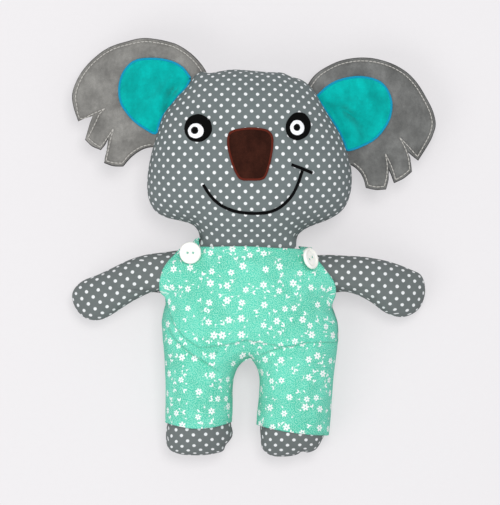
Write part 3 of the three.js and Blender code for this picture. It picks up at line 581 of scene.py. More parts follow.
def cut_sheet(name, ring, level, step, finish, thick, back=False, middle=None):
    """A flat cut of cloth or felt: points on a staggered lattice inside the outline, joined to
    it by triangles, each raised to the level there. Its place on the flat cloth is its plan,
    stretched where the cloth is steep if a middle column is given."""
    low, high = ring.min(0), ring.max(0)
    columns = np.arange(low[0], high[0], step)
    rows = np.arange(low[1], high[1], step * 0.87)
    lattice = np.stack(np.meshgrid(columns, rows), 2)
    lattice[1::2, :, 0] += step / 2
    lattice = lattice.reshape(-1, 2)
    lattice = lattice[inside(lattice, ring)]
    lattice = lattice[from_ring(lattice, ring) > 0.55 * step]
    plan = np.vstack([ring, lattice])
    count = len(ring)
    edges = [(k, (k + 1) % count) for k in range(count)]
    corners, _, faces, *_ = geometry.delaunay_2d_cdt([tuple(p) for p in plan], edges, [], 1, 1e-7)
    corners = np.array([tuple(c) for c in corners])
    surface = np.concatenate([corners, level(corners)[:, None]], 1)
    flat = corners if middle is None else flattened(corners, middle)
    piece = add_piece(name, surface, [list(f) for f in faces], flat, finish)
    thicken(piece, thick, -1 if back else 1)
    return piece


def band(name, line, width, height, level, finish, closed=False):
    """A raised line of satin stitches: half an ellipse carried along a line on a surface."""
    ahead = np.roll(line, -1, 0) - np.roll(line, 1, 0)
    if not closed:
        ahead[0], ahead[-1] = line[1] - line[0], line[-1] - line[-2]
    ahead /= np.linalg.norm(ahead, axis=1, keepdims=True)
    side = np.stack([-ahead[:, 1], ahead[:, 0]], 1)
    angle = np.linspace(0, math.pi, 9)
    plan = line[:, None] + side[:, None] * (width / 2 * np.cos(angle))[None, :, None]
    rise = height * np.sin(angle) - 0.0004 * (np.abs(np.cos(angle)) > 0.99)
    if not closed:
        # the ends are rounded off
        end = np.minimum(np.arange(len(line)), np.arange(len(line))[::-1]) / 3
        rise = rise[None] * np.minimum(1, 0.2 + end)[:, None]
    up = level(plan.reshape(-1, 2)).reshape(len(line), 9) + rise
    surface = np.concatenate([plan, up[..., None]], 2)
    gone = np.cumsum(np.linalg.norm(np.diff(line, axis=0, prepend=line[:1]), axis=1))
    flat = np.stack(np.broadcast_arrays(gone[:, None], (width / 2 * np.cos(angle))[None]), 2)
    faces = net(len(line), 9, False, 0, True)
    if closed:
        last = (len(line) - 1) * 9
        faces += [[last + k, last + k + 1, k + 1, k] for k in range(8)]
    return add_piece(name, surface.reshape(-1, 3), faces, flat.reshape(-1, 2), finish, weld=False)


def stitches(name, lines, length, gap, radius, finish, level, lift=0.0):
    """A row of single stitches: each is a short thread, thickest in its middle, whose two ends
    dip into the cloth. The surface's level carries the whole row."""
    rings, sides = 6, 6
    t = np.linspace(0, 1, rings)
    angle = np.arange(sides) / sides * 2 * math.pi
    parts, faces, start = [], [], 0
    for line in lines:
        even = spaced(line, length + gap)
        a, b = even[:-1], even[1:]
        b = a + (b - a) * (length / (length + gap))
        plan = a[:, None] + (b - a)[:, None] * t[None, :, None]
        ahead = (b - a) / np.linalg.norm(b - a, axis=1, keepdims=True)
        side = np.stack([-ahead[:, 1], ahead[:, 0]], 1)
        count = len(a)
        arch = radius * (1.2 * np.sin(math.pi * t) - 0.5)
        up = level(plan.reshape(-1, 2)).reshape(count, rings) + lift + arch
        thick = radius * np.sqrt(np.maximum(0.06, 1 - (2 * t - 1) ** 4))
        spread = (thick[:, None] * np.cos(angle))[None, :, :, None]
        ring = plan[:, :, None, :] + side[:, None, None, :] * spread
        height = up[:, :, None] + (thick[:, None] * np.sin(angle))[None]
        surface = np.concatenate([ring, height[..., None]], 3)
        parts.append(surface.reshape(-1, 3))
        one = np.array(net(rings, sides, True))
        caps = [list(range(sides))[::-1], [(rings - 1) * sides + k for k in range(sides)]]
        for k in range(count):
            base = start + k * rings * sides
            faces += (one + base).tolist() + [[c + base for c in cap] for cap in caps]
        start += count * rings * sides
    return add_piece(name, np.vstack(parts), faces, None, finish, weld=False)


def patch(name, ring, rows, level, thick, finish, edge=0.0012):
    """A filled shape on a surface: rings shrink from the outline to its middle, and the cloth
    rises from the surface by its thickness within a short edge."""
    centre = ring.mean(0)
    share = np.sin(np.linspace(0, math.pi / 2, rows + 1))
    plan = centre + (ring - centre)[None] * share[:, None, None]
    near = from_ring(plan.reshape(-1, 2), ring).reshape(rows + 1, len(ring))
    rise = thick * np.sqrt(np.clip(1 - (1 - np.clip(near / edge, 0, 1)) ** 2, 0, 1)) - 0.0003 * (near < 1e-6)
    up = level(plan.reshape(-1, 2)).reshape(rows + 1, len(ring)) + rise
    surface = np.concatenate([plan, up[..., None]], 2)
    surface[0] = surface[0].mean(0)
    faces = net(rows + 1, len(ring), True)
    return add_piece(name, surface.reshape(-1, 3), faces, plan.reshape(-1, 2), finish)


# Finishes


def paint(red, green, blue):
    """A display colour, 0 to 255, as the light it stands for."""
    share = np.array([red, green, blue]) / 255
    light = np.where(share <= 0.04045, share / 12.92, ((share + 0.055) / 1.055) ** 2.4)
    return (*light.tolist(), 1.0)


class Finish:
    """A material with short ways to add to its nodes."""

    def __init__(self, name, rough, sheen=0.0, specular=0.5):
        """A new material, with the piece's flat lengths and its place ready for patterns."""
        self.material = bpy.data.materials.new(name)
        self.material.use_nodes = True
        self.tree = self.material.node_tree
        self.shader = self.tree.nodes["Principled BSDF"]
        self.shader.inputs["Roughness"].default_value = rough
        self.shader.inputs["Sheen Weight"].default_value = sheen
        self.shader.inputs["Sheen Roughness"].default_value = 0.5
        self.shader.inputs["Specular IOR Level"].default_value = specular
        self.flat = self.add("ShaderNodeUVMap", uv_map="flat").outputs["UV"]
        self.place = self.add("ShaderNodeTexCoord").outputs["Object"]

    def add(self, kind, **settings):
        """A new node of this kind with these settings."""
        node = self.tree.nodes.new(kind)
        for key, value in settings.items():
            setattr(node, key, value)
        return node

    def put(self, socket, value):
        """Link the socket to another or set its value, and leave it alone for None."""
        if isinstance(value, bpy.types.NodeSocket):
            self.tree.links.new(value, socket)
        elif value is not None:
            socket.default_value = value

    def math(self, operation, a, b=None, c=None):
        """One sum on up to three numbers or sockets."""
        node = self.add("ShaderNodeMath", operation=operation)
        for socket, value in zip(node.inputs, (a, b, c)):
            self.put(socket, value)
        return node.outputs[0]

    def times(self, a, b):
        """Two values multiplied."""
        return self.math("MULTIPLY", a, b)

    def plus(self, a, b):
        """Two values added."""
        return self.math("ADD", a, b)

    def without(self, share):
        """What a share leaves of 1."""
        return self.math("SUBTRACT", 1.0, share)

    def vector(self, operation, a, b=None, scale=None):
        """One sum on vectors. A length comes out as a value, anything else as a vector."""
        node = self.add("ShaderNodeVectorMath", operation=operation)
        self.put(node.inputs[0], a)
        self.put(node.inputs[1], b)
        if scale is not None:
            self.put(node.inputs["Scale"], scale)
        return node.outputs["Value"] if operation == "LENGTH" else node.outputs["Vector"]

    def rise(self, value, low, high):
        """0 below low and 1 above high."""
        node = self.add("ShaderNodeMapRange", interpolation_type="SMOOTHSTEP")
        self.put(node.inputs["Value"], value)
        self.put(node.inputs["From Min"], low)
        self.put(node.inputs["From Max"], high)
        return node.outputs["Result"]

    def blend(self, share, a, b):
        """Colour a where the share is 0 and colour b where it is 1."""
        node = self.add("ShaderNodeMix", data_type="RGBA")
        self.put(node.inputs[0], share)
        self.put(node.inputs[6], a)
        self.put(node.inputs[7], b)
        return node.outputs[2]

    def noise(self, where, scale, detail=2.0, rough=0.5):
        """Soft noise from 0 to 1, with about as many patches to a metre as the scale says."""
        node = self.add("ShaderNodeTexNoise", noise_dimensions="3D")
        self.put(node.inputs["Vector"], where)
        node.inputs["Scale"].default_value = scale
        node.inputs["Detail"].default_value = detail
        node.inputs["Roughness"].default_value = rough
        return node.outputs["Fac"]

    def noise_vector(self, where, scale):
        """Three noises at once, as a vector."""
        node = self.add("ShaderNodeTexNoise", noise_dimensions="3D")
        self.put(node.inputs["Vector"], where)
        node.inputs["Scale"].default_value = scale
        return node.outputs["Color"]

    def cells(self, where, scale, randomness=1.0):
        """Finds the nearest point of a flat lattice whose points are shaken by the randomness."""
        node = self.add("ShaderNodeTexVoronoi", voronoi_dimensions="2D", feature="F1")
        self.put(node.inputs["Vector"], where)
        node.inputs["Scale"].default_value = scale
        node.inputs["Randomness"].default_value = randomness
        return node

    def shaded(self, colour, share, amount):
        """The colour made lighter and darker by a share from 0 to 1, by the amount each way."""
        factor = self.math("MULTIPLY_ADD", share, 2 * amount, 1 - amount)
        return self.vector("SCALE", colour, scale=factor)

    def solid(self, colour):
        """A plain colour as a socket."""
        node = self.add("ShaderNodeRGB")
        node.outputs[0].default_value = colour
        return node.outputs[0]

    def done(self, colour, height=None, depth=0.0002, strength=1.0):
        """The material with its colour and, where a height is given, a bump as deep as the depth."""
        self.put(self.shader.inputs["Base Color"], colour)
        if height is not None:
            bump = self.add("ShaderNodeBump")
            bump.inputs["Distance"].default_value = depth
            bump.inputs["Strength"].default_value = strength
            self.put(bump.inputs["Height"], height)
            self.put(self.shader.inputs["Normal"], bump.outputs["Normal"])
        return self.material

    def weave(self, thread=0.00042):
        """Threads over and under each other: the product of two waves at right angles."""
        parts = self.add("ShaderNodeSeparateXYZ")
        self.put(parts.inputs[0], self.flat)
        turn = 2 * math.pi / thread
        a = self.math("SINE", self.times(parts.outputs[0], turn))
        b = self.math("SINE", self.times(parts.outputs[1], turn))
        return self.math("MULTIPLY_ADD", self.times(a, b), 0.5, 0.5)


def dotted_cotton(name, ground, pitch=0.0093, radius=0.00132):
    """White dots on two square lattices, the second half a pitch along and half a pitch up."""
    f = Finish(name, 0.95, 0.05, 0.12)
    wobble = f.noise(f.flat, 900, 1.0)
    scaled = f.vector("SCALE", f.flat, scale=1 / pitch)
    distances = []
    for shift in (0.0, 0.5):
        moved = f.vector("ADD", scaled, (shift, shift, 0))
        local = f.vector("SUBTRACT", f.vector("FRACTION", moved), (0.5, 0.5, 0))
        distances.append(f.vector("LENGTH", local))
    near = f.math("MINIMUM", *distances)
    near = f.plus(near, f.math("MULTIPLY_ADD", wobble, 0.03, -0.015))
    size = radius / pitch
    dots = f.without(f.rise(near, size - 0.022, size + 0.022))
    weave = f.weave()
    mottle = f.noise(f.place, 45, 3.0, 0.6)
    fine = f.noise(f.flat, 1500, 2.0)
    base = f.shaded(f.solid(ground), mottle, 0.09)
    base = f.shaded(base, fine, 0.10)
    base = f.shaded(base, weave, 0.05)
    white = f.shaded(f.solid(paint(241, 242, 242)), weave, 0.03)
    height = f.plus(weave, f.times(mottle, 0.6))
    return f.done(f.blend(dots, base, white), height, 0.00012, 0.7)


def floral_cotton(name, ground, deep):
    """Small flowers at the points of a loose lattice, each turned its own way. A petal's edge
    lies at 0.38 + 0.62 |cos(n a / 2)|^0.8 of the reach, for n petals and the angle a round the
    point. Leaves in pairs and buds lie between them, over a ground of fine pale specks."""
    f = Finish(name, 0.95, 0.05, 0.12)
    white = f.solid(paint(250, 253, 250))
    where = f.vector("ADD", f.flat, (0.31, 0.27, 0))

    def around(scale, randomness):
        """Distance and turned angle from the nearest lattice point, and its random numbers."""
        found = f.cells(where, scale, randomness)
        parts = f.add("ShaderNodeSeparateColor")
        f.put(parts.inputs[0], found.outputs["Color"])
        local = f.vector("SUBTRACT", where, found.outputs["Position"])
        axes = f.add("ShaderNodeSeparateXYZ")
        f.put(axes.inputs[0], local)
        turned = f.plus(f.math("ARCTAN2", axes.outputs[1], axes.outputs[0]),
                        f.times(parts.outputs[0], FULL_TURN))
        return f.vector("LENGTH", local), turned, parts.outputs

    def petals(scale, randomness, reach, count, present):
        """Petals round an eye left bare, and the round room about them that leaves keep out of."""
        far, angle, luck = around(scale, randomness)
        wave = f.math("ABSOLUTE", f.math("COSINE", f.times(angle, count / 2)))
        size = f.math("MULTIPLY_ADD", luck[1], 0.25, 0.82)
        edge = f.math("MULTIPLY_ADD", f.math("POWER", wave, 0.8), 0.62 * reach, 0.38 * reach)
        edge = f.times(edge, size)
        shape = f.without(f.rise(f.math("SUBTRACT", far, edge), -0.00018, 0.00018))
        eye = f.rise(far, 0.00038, 0.0007)
        on = f.math("GREATER_THAN", luck[2], present)
        clear = f.times(f.without(f.rise(far, reach * 1.25, reach * 1.4)), on)
        return f.times(f.times(shape, eye), on), clear

    def leaves(scale, reach, wide, spread, present):
        """An ellipse and its mirror image, each turned by the spread from a thin straight stem."""
        far, angle, luck = around(scale, 0.95)
        local_x = f.times(far, f.math("COSINE", angle))
        local_y = f.math("ABSOLUTE", f.times(far, f.math("SINE", angle)))
        c, s = math.cos(spread), math.sin(spread)
        along = f.plus(f.times(local_x, c), f.times(local_y, s))
        across = f.math("SUBTRACT", f.times(local_y, c), f.times(local_x, s))
        a = f.math("DIVIDE", f.math("SUBTRACT", along, reach * 0.75), reach * 0.62)
        b = f.math("DIVIDE", across, wide)
        shape = f.math("SQRT", f.plus(f.times(a, a), f.times(b, b)))
        behind = f.times(f.math("LESS_THAN", local_x, 0.0), f.math("GREATER_THAN", local_x, -reach))
        stem = f.times(f.math("LESS_THAN", f.math("ABSOLUTE", local_y), 0.00011), behind)
        found = f.math("MAXIMUM", f.without(f.rise(shape, 0.8, 1.15)), stem)
        return f.times(found, f.math("GREATER_THAN", luck[2], present))

    flowers, taken = petals(76, 0.6, 0.0028, 6, 0.06)
    sprigs = leaves(112, 0.0021, 0.0006, 0.55, 0.42)
    buds = leaves(150, 0.0012, 0.00058, 0.0, 0.5)
    between = f.times(f.math("MAXIMUM", sprigs, buds), f.without(taken))
    specks = f.cells(f.flat, 1050, 1.0).outputs["Distance"]
    specks = f.without(f.rise(specks, 0.2, 0.42))
    weave = f.weave()
    mottle = f.noise(f.place, 40, 3.0, 0.6)
    base = f.blend(f.rise(mottle, 0.3, 0.7), ground, deep)
    base = f.blend(f.times(specks, 0.55), base, paint(206, 248, 232))
    base = f.shaded(base, weave, 0.05)
    pattern = f.math("MAXIMUM", flowers, between)
    height = f.plus(weave, f.times(mottle, 0.6))
    return f.done(f.blend(pattern, base, white), height, 0.00012, 0.7)


def felt(name, colour, patchy=0.24, fibre=0.2, seed=0.0):
    """Pressed fibres: clouds of colour, short curved hairs and a soft bright rim of fluff."""
    f = Finish(name, 1.0, 0.1, 0.05)
    where = f.vector("ADD", f.place, (seed, seed * 0.7, 0))
    clouds = f.noise(where, 60, 4.0, 0.6)
    tufts = f.noise(where, 420, 3.0, 0.65)
    bent = f.vector("ADD", where, f.vector("SCALE", f.noise_vector(where, 300), scale=0.0012))
    hairs = f.noise(bent, 1900, 2.0, 0.7)
    streaks = f.noise(f.vector("MULTIPLY", where, (1.0, 0.45, 1.0)), 105, 3.0, 0.6)
    base = f.shaded(f.solid(colour), f.rise(clouds, 0.3, 0.7), patchy)
    base = f.shaded(base, f.rise(streaks, 0.3, 0.72), patchy * 0.7)
    base = f.shaded(base, tufts, fibre)
    base = f.shaded(base, hairs, fibre * 1.3)
    height = f.plus(f.times(tufts, 1.2), f.times(hairs, 0.7))
    return f.done(base, height, 0.00035, 0.8)


def satin_thread(name, colour, pitch=0.00045, slant=0.25, rough=0.45):
    """Threads laid side by side across a line: a wave along it, a little slanted."""
    f = Finish(name, rough, 0.02, 0.12)
    parts = f.add("ShaderNodeSeparateXYZ")
    f.put(parts.inputs[0], f.flat)
    run = f.plus(parts.outputs[0], f.times(parts.outputs[1], slant))
    wave = f.math("SINE", f.times(run, 2 * math.pi / pitch))
    uneven = f.noise(f.flat, 700, 2.0)
    thread = f.plus(f.math("MULTIPLY_ADD", wave, 0.35, 0.5), f.times(uneven, 0.3))
    base = f.shaded(f.solid(colour), thread, 0.22)
    return f.done(base, thread, 0.00015, 0.8)


def plain_thread(name, colour, rough=0.6):
    """Sewing thread, a little uneven in shade."""
    f = Finish(name, rough, 0.1, 0.3)
    uneven = f.noise(f.place, 2200, 2.0)
    return f.done(f.shaded(f.solid(colour), uneven, 0.15), uneven, 0.0001, 0.6)


def button_plastic(name):
    """Cream plastic with faint clouds, which lets a little light in."""
    f = Finish(name, 0.32, 0.0, 0.5)
    cloud = f.noise(f.place, 260, 2.0)
    base = f.shaded(f.solid(paint(253, 252, 244)), cloud, 0.025)
    f.shader.inputs["Subsurface Weight"].default_value = 0.15
    f.shader.inputs["Subsurface Radius"].default_value = (0.002, 0.0018, 0.0014)
    return f.done(base, cloud, 0.00004, 0.5)


# The cloths and felts

head_cotton = dotted_cotton("dotted_cotton", paint(114, 122, 122))
limb_cotton = dotted_cotton("dark_dotted_cotton", paint(113, 119, 118))
floral = floral_cotton("floral_cotton", paint(96, 216, 187), paint(80, 201, 170))
# The two ears are one grey felt: the left ear's is painted lighter as painted light, and the right ear's
# darker as painted shade.
left_ear_felt_painted_light = felt("grey_felt_left_painted_light", paint(132, 130, 126), 0.2, seed=0.0)
right_ear_felt_painted_shade = felt("grey_felt_right_painted_shade", paint(112, 112, 110), 0.2, seed=1.0)
# The ears' back felt is the same grey felt, painted darker as painted shade along the rim where it shows.
back_felt_painted_shade = felt("grey_felt_back_painted_shade", paint(84, 82, 82), seed=2.0)
teal_felt = felt("teal_felt", paint(4, 172, 165), 0.16, 0.14, seed=3.0)
brown_felt = felt("brown_felt", paint(54, 26, 18), 0.25, 0.34, seed=4.0)
black_stitch = satin_thread("black_thread", paint(2, 2, 3), 0.0006, 0.4, 0.9)
black_fill = satin_thread("black_filling", paint(2, 2, 2), 0.0007, 0.2, 0.95)
white_stitch = satin_thread("white_thread", paint(244, 244, 246), 0.0006, 0.3, 0.6)
rust_stitch = satin_thread("rust_thread", paint(92, 32, 20), 0.0005, 0.3, 0.7)
blue_stitch = satin_thread("blue_thread", paint(12, 146, 182), 0.0005, 0.3, 0.6)
grey_thread = plain_thread("grey_thread", paint(190, 186, 180))
green_thread = plain_thread("green_thread", paint(150, 208, 190))
mint_thread = plain_thread("mint_thread", paint(92, 220, 188))
plastic = button_plastic("cream_plastic")


# The stuffed body

COVER_INSET = 0.0014


def under_cover(places):
    """The body's cloth lies this far inside the dungarees, down to the hems."""
    return COVER_INSET * smooth((places[:, 1] - spot(0, 431)[1]) / 0.004)


head_skin = pillow("head_skin", HEAD_RING, spot(250, 150), 70, head_cotton, seed=11)
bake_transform(head_skin)
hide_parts("head", "neck")

torso_plan = np.vstack([
    left_side[CROTCH_ROW:] + [COVER_INSET, 0], (right_side[CROTCH_ROW:] - [COVER_INSET, 0])[::-1],
    right_inner[CROTCH_ROW:CROTCH_ROW + 1],
])


def under_dungarees(places):
    """The torso's cloth lies inside the dungarees, and deeper towards the crotch."""
    return COVER_INSET + 0.009 * smooth((-0.05 - places[:, 1]) / 0.02)


torso_skin = pillow("torso_skin", spaced(torso_plan, 0.002, True), spot(CENTRE_COLUMN, 300), 34,
                    limb_cotton, under_dungarees, seed=21)
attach(torso_skin, "torso")
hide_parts("torso")


def limb(name, ring, middle, grain, lie, body, seed, inset=None):
    """An arm or a leg: a pillow of dotted cotton."""
    piece = pillow(name, ring, spot(*middle), 46, limb_cotton, inset, grain, seed, lie=lie)
    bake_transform(piece)
    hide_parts(body)
    return piece


limb("left_arm_skin", LEFT_ARM_RING, (110, 288), 0.16, 0.3, "left_arm",
     31)
limb("right_arm_skin", RIGHT_ARM_RING, (385, 286), -0.04, -0.15, "right_arm",
     37)


LEFT_LEG_RING = curve(spots([
    (168, 330), (167.2, 350), (167.2, 380), (167.6, 404), (167.2, 421), (165.6, 434), *LEFT_SOLE,
    (230.6, 423), (230, 410), (230, 388), (233, 374), (238, 364), (244, 357), (244, 340), (230, 326),
    (200, 322),
]), 0.0013, True)
RIGHT_LEG_RING = curve(spots([
    (256, 340), (256, 357), (260, 368), (262, 384), (261.4, 400), (260, 412), (260.2, 426), *RIGHT_SOLE,
    (326.3, 432), (328.2, 419), (329.6, 403), (330.6, 384), (332, 366), (332, 346), (328, 330),
    (298, 322), (270, 328),
]), 0.0013, True)

limb("left_leg_skin", LEFT_LEG_RING[::-1], (198, 404), 0.05, 0.0, "left_leg",
     41, under_cover)
limb("right_leg_skin", RIGHT_LEG_RING[::-1], (295, 404), -0.03, 0.0, "right_leg",
     47, under_cover)


# The dungarees


def lip(places, line, height, reach, side=1):
    """A fold's edge: the cloth on one side of a line stands up by a height that dies away over
    its reach, and drops back to the other side within a short step."""
    far, hand, share = from_line(places, line[:-1], line[1:], True)
    signed = far * hand * side
    ends = smooth(share / 0.18) * smooth((1 - share) / 0.18)
    over = np.where(signed > 0, np.exp(-signed / reach), np.exp(-(signed / 0.0006) ** 2))
    under = -0.27 * np.exp(-((signed + 0.0018) / 0.0014) ** 2)
    return height * ends * (over + under)


FOLD_LEFT = curve(spots([
    (165, 313), (168.7, 323.7), (176.7, 338), (192.6, 352), (208.6, 362), (226, 374.7),
]), 0.0015)
FOLD_CORNER = curve(spots([(199, 346), (207, 350.4), (217.6, 353.8)]), 0.0015)
FOLD_RIGHT = curve(spots([(257.5, 355.6), (266, 350.8), (277, 346.8), (290, 344.4), (303, 342.6)]), 0.0015)


def trouser_front(places):
    """The toy's front with two sizes of wrinkles that die away at the outline, a hem turned in
    over its last 5 mm, and the lips of three folds."""
    wrinkles = 0.00035 * ripples(places, 0.013, 61) + 0.0002 * ripples(places, 0.006, 62)
    hem = np.interp(places[:, 0], spots([(165, 0), (198, 0), (231, 0), (257, 0), (293, 0), (329, 0)])[:, 0],
                    spots([(0, 423), (0, 428), (0, 423), (0, 426), (0, 431), (0, 436)])[:, 1])
    up = places[:, 1] - hem
    turned_in = 0.0006 * (1 - smooth((up - 0.0048) / 0.0008))
    return (front(places) + wrinkles * smooth(swell(places) / 0.01) + turned_in
            + lip(places, FOLD_LEFT, 0.004, 0.008) + lip(places, FOLD_CORNER, 0.0024, 0.005)
            + lip(places, FOLD_RIGHT, 0.0024, 0.006))


def trouser_rear(places):
    """The toy's back, lowered by wrinkles that die away at the outline, never below the table."""
    wrinkles = 0.0004 * ripples(places, 0.015, 65)
    return np.maximum(rear(places) - wrinkles * smooth(swell(places) / 0.01), 0.0)


def finer(rows, times):
    """The rows' ends at in-between rows, on smooth lines."""
    steps = np.arange(len(rows))
    at = np.linspace(0, len(rows) - 1, times)
    spline = curve(np.concatenate([rows, steps[:, None] * 0.005], 1), 0.0004)
    order = spline[:, 2] / 0.005
    return np.stack([np.interp(at, order, spline[:, k]) for k in (0, 1)], 1)


def trouser_leg(name, inner, outer, sag, side):
    """One leg of the dungarees, front and back: each row goes from the inner seam (or the
    middle of the belly) to the side seam, with points closer together near both ends."""
    across, rows = 91, 140
    v = np.linspace(0, 1, rows)
    a, b = finer(inner[:WAIST_ROW + 1], rows), finer(outer[:WAIST_ROW + 1], rows)
    u = (1 - np.cos(math.pi * np.linspace(0, 1, across))) / 2
    plan = a[:, None] + (b - a)[:, None] * u[None, :, None]
    drop = sag * np.sin(math.pi * u)[None] * np.exp(-v / 0.09)[:, None]
    plan[..., 1] -= drop
    flat_plan = plan.reshape(-1, 2)
    parts, flats, faces = [], [], []
    for face, level in ((1, trouser_front), (-1, trouser_rear)):
        height = level(flat_plan)
        surface = np.concatenate([flat_plan, height[:, None]], 1).reshape(rows, across, 3)
        if face > 0:
            seam = surface[:, [0, -1], 2].copy()
        else:
            # both faces meet along the side seam and, below the crotch, along the inner seam
            below = np.arange(rows) < rows * CROTCH_ROW / WAIST_ROW
            surface[:, -1, 2] = seam[:, 1]
            surface[below, 0, 2] = seam[below, 0]
        flat = flattened(flat_plan, spot(198 if side < 0 else 294, 390)) + [0.2 * side, 0.3 * (face < 0)]
        faces += net(rows, across, False, len(parts) * rows * across, side * face > 0)
        parts.append(surface.reshape(-1, 3))
        flats.append(flat)
    piece = add_piece(name, np.vstack(parts), faces, np.vstack(flats), floral)
    thicken(piece, CLOTH, -1)
    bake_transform(piece)
    return piece


left_trousers = trouser_leg("left_trousers", left_inner, left_outer, 0.0042, -1)
right_trousers = trouser_leg("right_trousers", right_inner, right_outer, 0.0012, 1)
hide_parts("left_trouser_leg", "dungaree_back")
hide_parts("right_trouser_leg")

TAUT_LOW, TAUT_HIGH = spot(148, 362), spot(350, 232)


def taut_cloth():
    """The front's height on a grid, after the cloth is pulled tight over it: time after time,
    each place takes the mean of its neighbours where that is higher than the body."""
    places, shape = plan_grid(TAUT_LOW, TAUT_HIGH, CELL)
    body = front(places).reshape(shape)
    cloth = body.copy()
    for _ in range(60):
        mean = cloth.copy()
        for axis in (0, 1):
            mean = (np.roll(mean, 1, axis) + 2 * mean + np.roll(mean, -1, axis)) / 4
        mean[[0, -1]] = body[[0, -1]]
        mean[:, [0, -1]] = body[:, [0, -1]]
        cloth = np.maximum(body, mean)
    return blurred(cloth, 2)


TAUT = taut_cloth()


def taut(places):
    """Height of the taut cloth, read from its grid."""
    return read_grid(TAUT, TAUT_LOW, CELL, places)


BIB_CORNERS = [
    [(182, 247.5), (201.4, 247.2), (242, 246.3), (270, 247.6), (297.8, 249.3), (309, 250.5)],
    [(309, 250.5), (315.5, 258.5), (322.4, 266.6), (328.6, 274.6), (333.4, 281.6), (335.6, 289), (334.8, 296),
     (332.4, 302), (331.8, 308), (334.2, 315), (336.6, 323), (337.4, 333), (337.2, 342)],
    [(337.2, 342), (314, 341.8), (302, 343), (289, 345.2), (278, 345), (267, 343), (257, 341), (245, 339.4),
     (232.7, 342.8), (219, 345), (208, 346.3), (199, 346.6)],
    [(199, 346.6), (190, 340.6), (181, 332.5), (174.6, 323.5), (170.8, 313), (168.6, 303), (165, 296.6),
     (160.9, 292), (159.8, 285), (160.4, 279), (162.6, 271), (168, 262.4), (174.5, 255.4), (182, 247.5)],
]


def ring_of(sides, step):
    """A closed outline of smooth sides that meet at corners."""
    return np.vstack([curve(spots(side), step)[:-1] for side in sides])


BIB_CLOTH = 0.0009


def bib_level(places):
    """The higher of the dungarees and the taut cloth, by the cloth's thickness, with wrinkles, an
    edge that stands off unevenly by 0.7 mm dying away over 4 mm, and one pressed line. Beside
    the right side seam it lies on the dungarees."""
    wrinkles = 0.0003 * ripples(places, 0.017, 71) + 0.00012 * ripples(places, 0.007, 72)
    edge = from_ring(places, BIB_RING)
    loose = 0.0007 * np.exp(-edge / 0.004) * ripples(places, 0.024, 73)
    body = trouser_front(places)
    side_seam = smooth((spot(0, 300)[1] - places[:, 1]) / 0.008)
    side_seam = side_seam * smooth((places[:, 0] - spot(318, 0)[0]) / 0.008)
    pressed_line = 0.0004 * np.exp(-((places[:, 0] - spot(199.6, 0)[0]) / 0.0006) ** 2)
    return (body + np.maximum(taut(places) - body, 0) * (1 - side_seam) + BIB_CLOTH
            + wrinkles * smooth(swell(places) / 0.012) + np.abs(loose) - pressed_line)


BIB_RING = ring_of(BIB_CORNERS, 0.0012)
bib = cut_sheet("bib", BIB_RING, bib_level, 0.0013, floral, BIB_CLOTH, middle=spot(CENTRE_COLUMN, 300))
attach(bib, "torso")
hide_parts("dungaree_front", "bib_panel")

bib_rows = stitches(
    "bib_stitching",
    [curve(spots([(334, 339.6), (314, 339.2), (302, 340.4), (289, 342.6), (278, 342.4), (267, 340.4),
                  (257, 338.4), (245, 336.8), (232.7, 340.2), (219, 342.4), (208, 343.7), (200.4, 344)])),
     curve(spots([(184, 250.1), (201.4, 249.8), (242, 248.9), (270, 250.2), (297.8, 251.9), (308, 253)])),
     curve(spots([(199.6, 252), (199.7, 290), (199.6, 343)])),
     curve(spots([(320.8, 303), (321, 322), (321, 339)]))],
    0.0021, 0.0006, 0.00022, mint_thread, lambda places: bib_level(places) + BIB_CLOTH)
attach(bib_rows, "torso")


def strap(name, low_column, high_column, node):
    """A strip over the shoulder: it starts under the button, goes round the shoulder's short
    round and down the back to the back of the dungarees. Its width is even from above, so its
    cloth is wider where the shoulder is steep."""
    across = np.linspace(0, 1, 13)
    ends = np.linspace(0, 1, 60)
    down = np.concatenate([0.0105 * (1 - ends[:-1]) ** 2, 0.044 * ends**2])
    x = spot(low_column, 0)[0] + (spot(high_column, 0)[0] - spot(low_column, 0)[0]) * across
    edge = shoulder_edge(x)[None] - 1e-5 - down[:, None]
    # the left strap is pushed up beside the neck
    pushed = 0.0052 * smooth((x - spot(193, 0)[0]) / 0.0045) * (x < 0)
    edge = edge + pushed * np.exp(-((down[:, None] / 0.006) ** 2))
    plan = np.stack(np.broadcast_arrays(x[None], edge), 2)
    flat_plan = plan.reshape(-1, 2)
    height = np.where(np.repeat(np.arange(len(down)) < 60, 13), front(flat_plan), rear(flat_plan))
    surface = np.concatenate([flat_plan, height[:, None]], 1).reshape(len(down), 13, 3)
    for _ in range(6):
        surface[1:-1] = (surface[:-2] + 2 * surface[1:-1] + surface[2:]) / 4
    surface = lifted(surface, 0.0023)
    surface[..., 2] = np.maximum(surface[..., 2], 0.0002)
    gone = np.cumsum(np.linalg.norm(np.diff(surface, axis=0, prepend=surface[:1]), axis=2), 0).mean(1)
    wide = np.cumsum(np.linalg.norm(np.diff(surface, axis=1, prepend=surface[:, :1]), axis=2), 1)
    flat = np.stack(np.broadcast_arrays(wide - wide[:, 6:7], gone[:, None]), 2)
    piece = add_piece(name, surface.reshape(-1, 3), net(len(down), 13), flat.reshape(-1, 2), floral)
    thicken(piece, STRAP_CLOTH, 0)
    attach(piece, "torso")
    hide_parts(node)
    return piece


left_strap = strap("left_shoulder_strap", 184.6, 200.6, "left_strap")
right_strap = strap("right_shoulder_strap", 298.4, 312, "right_strap")


# The buttons

BUTTON = 0.00825
HOLE = 0.0021


def upright_turn(angle):
    """The matrix of a turn round the upright axis."""
    whole = np.eye(3)
    whole[:2, :2] = turned_by(angle)
    return whole


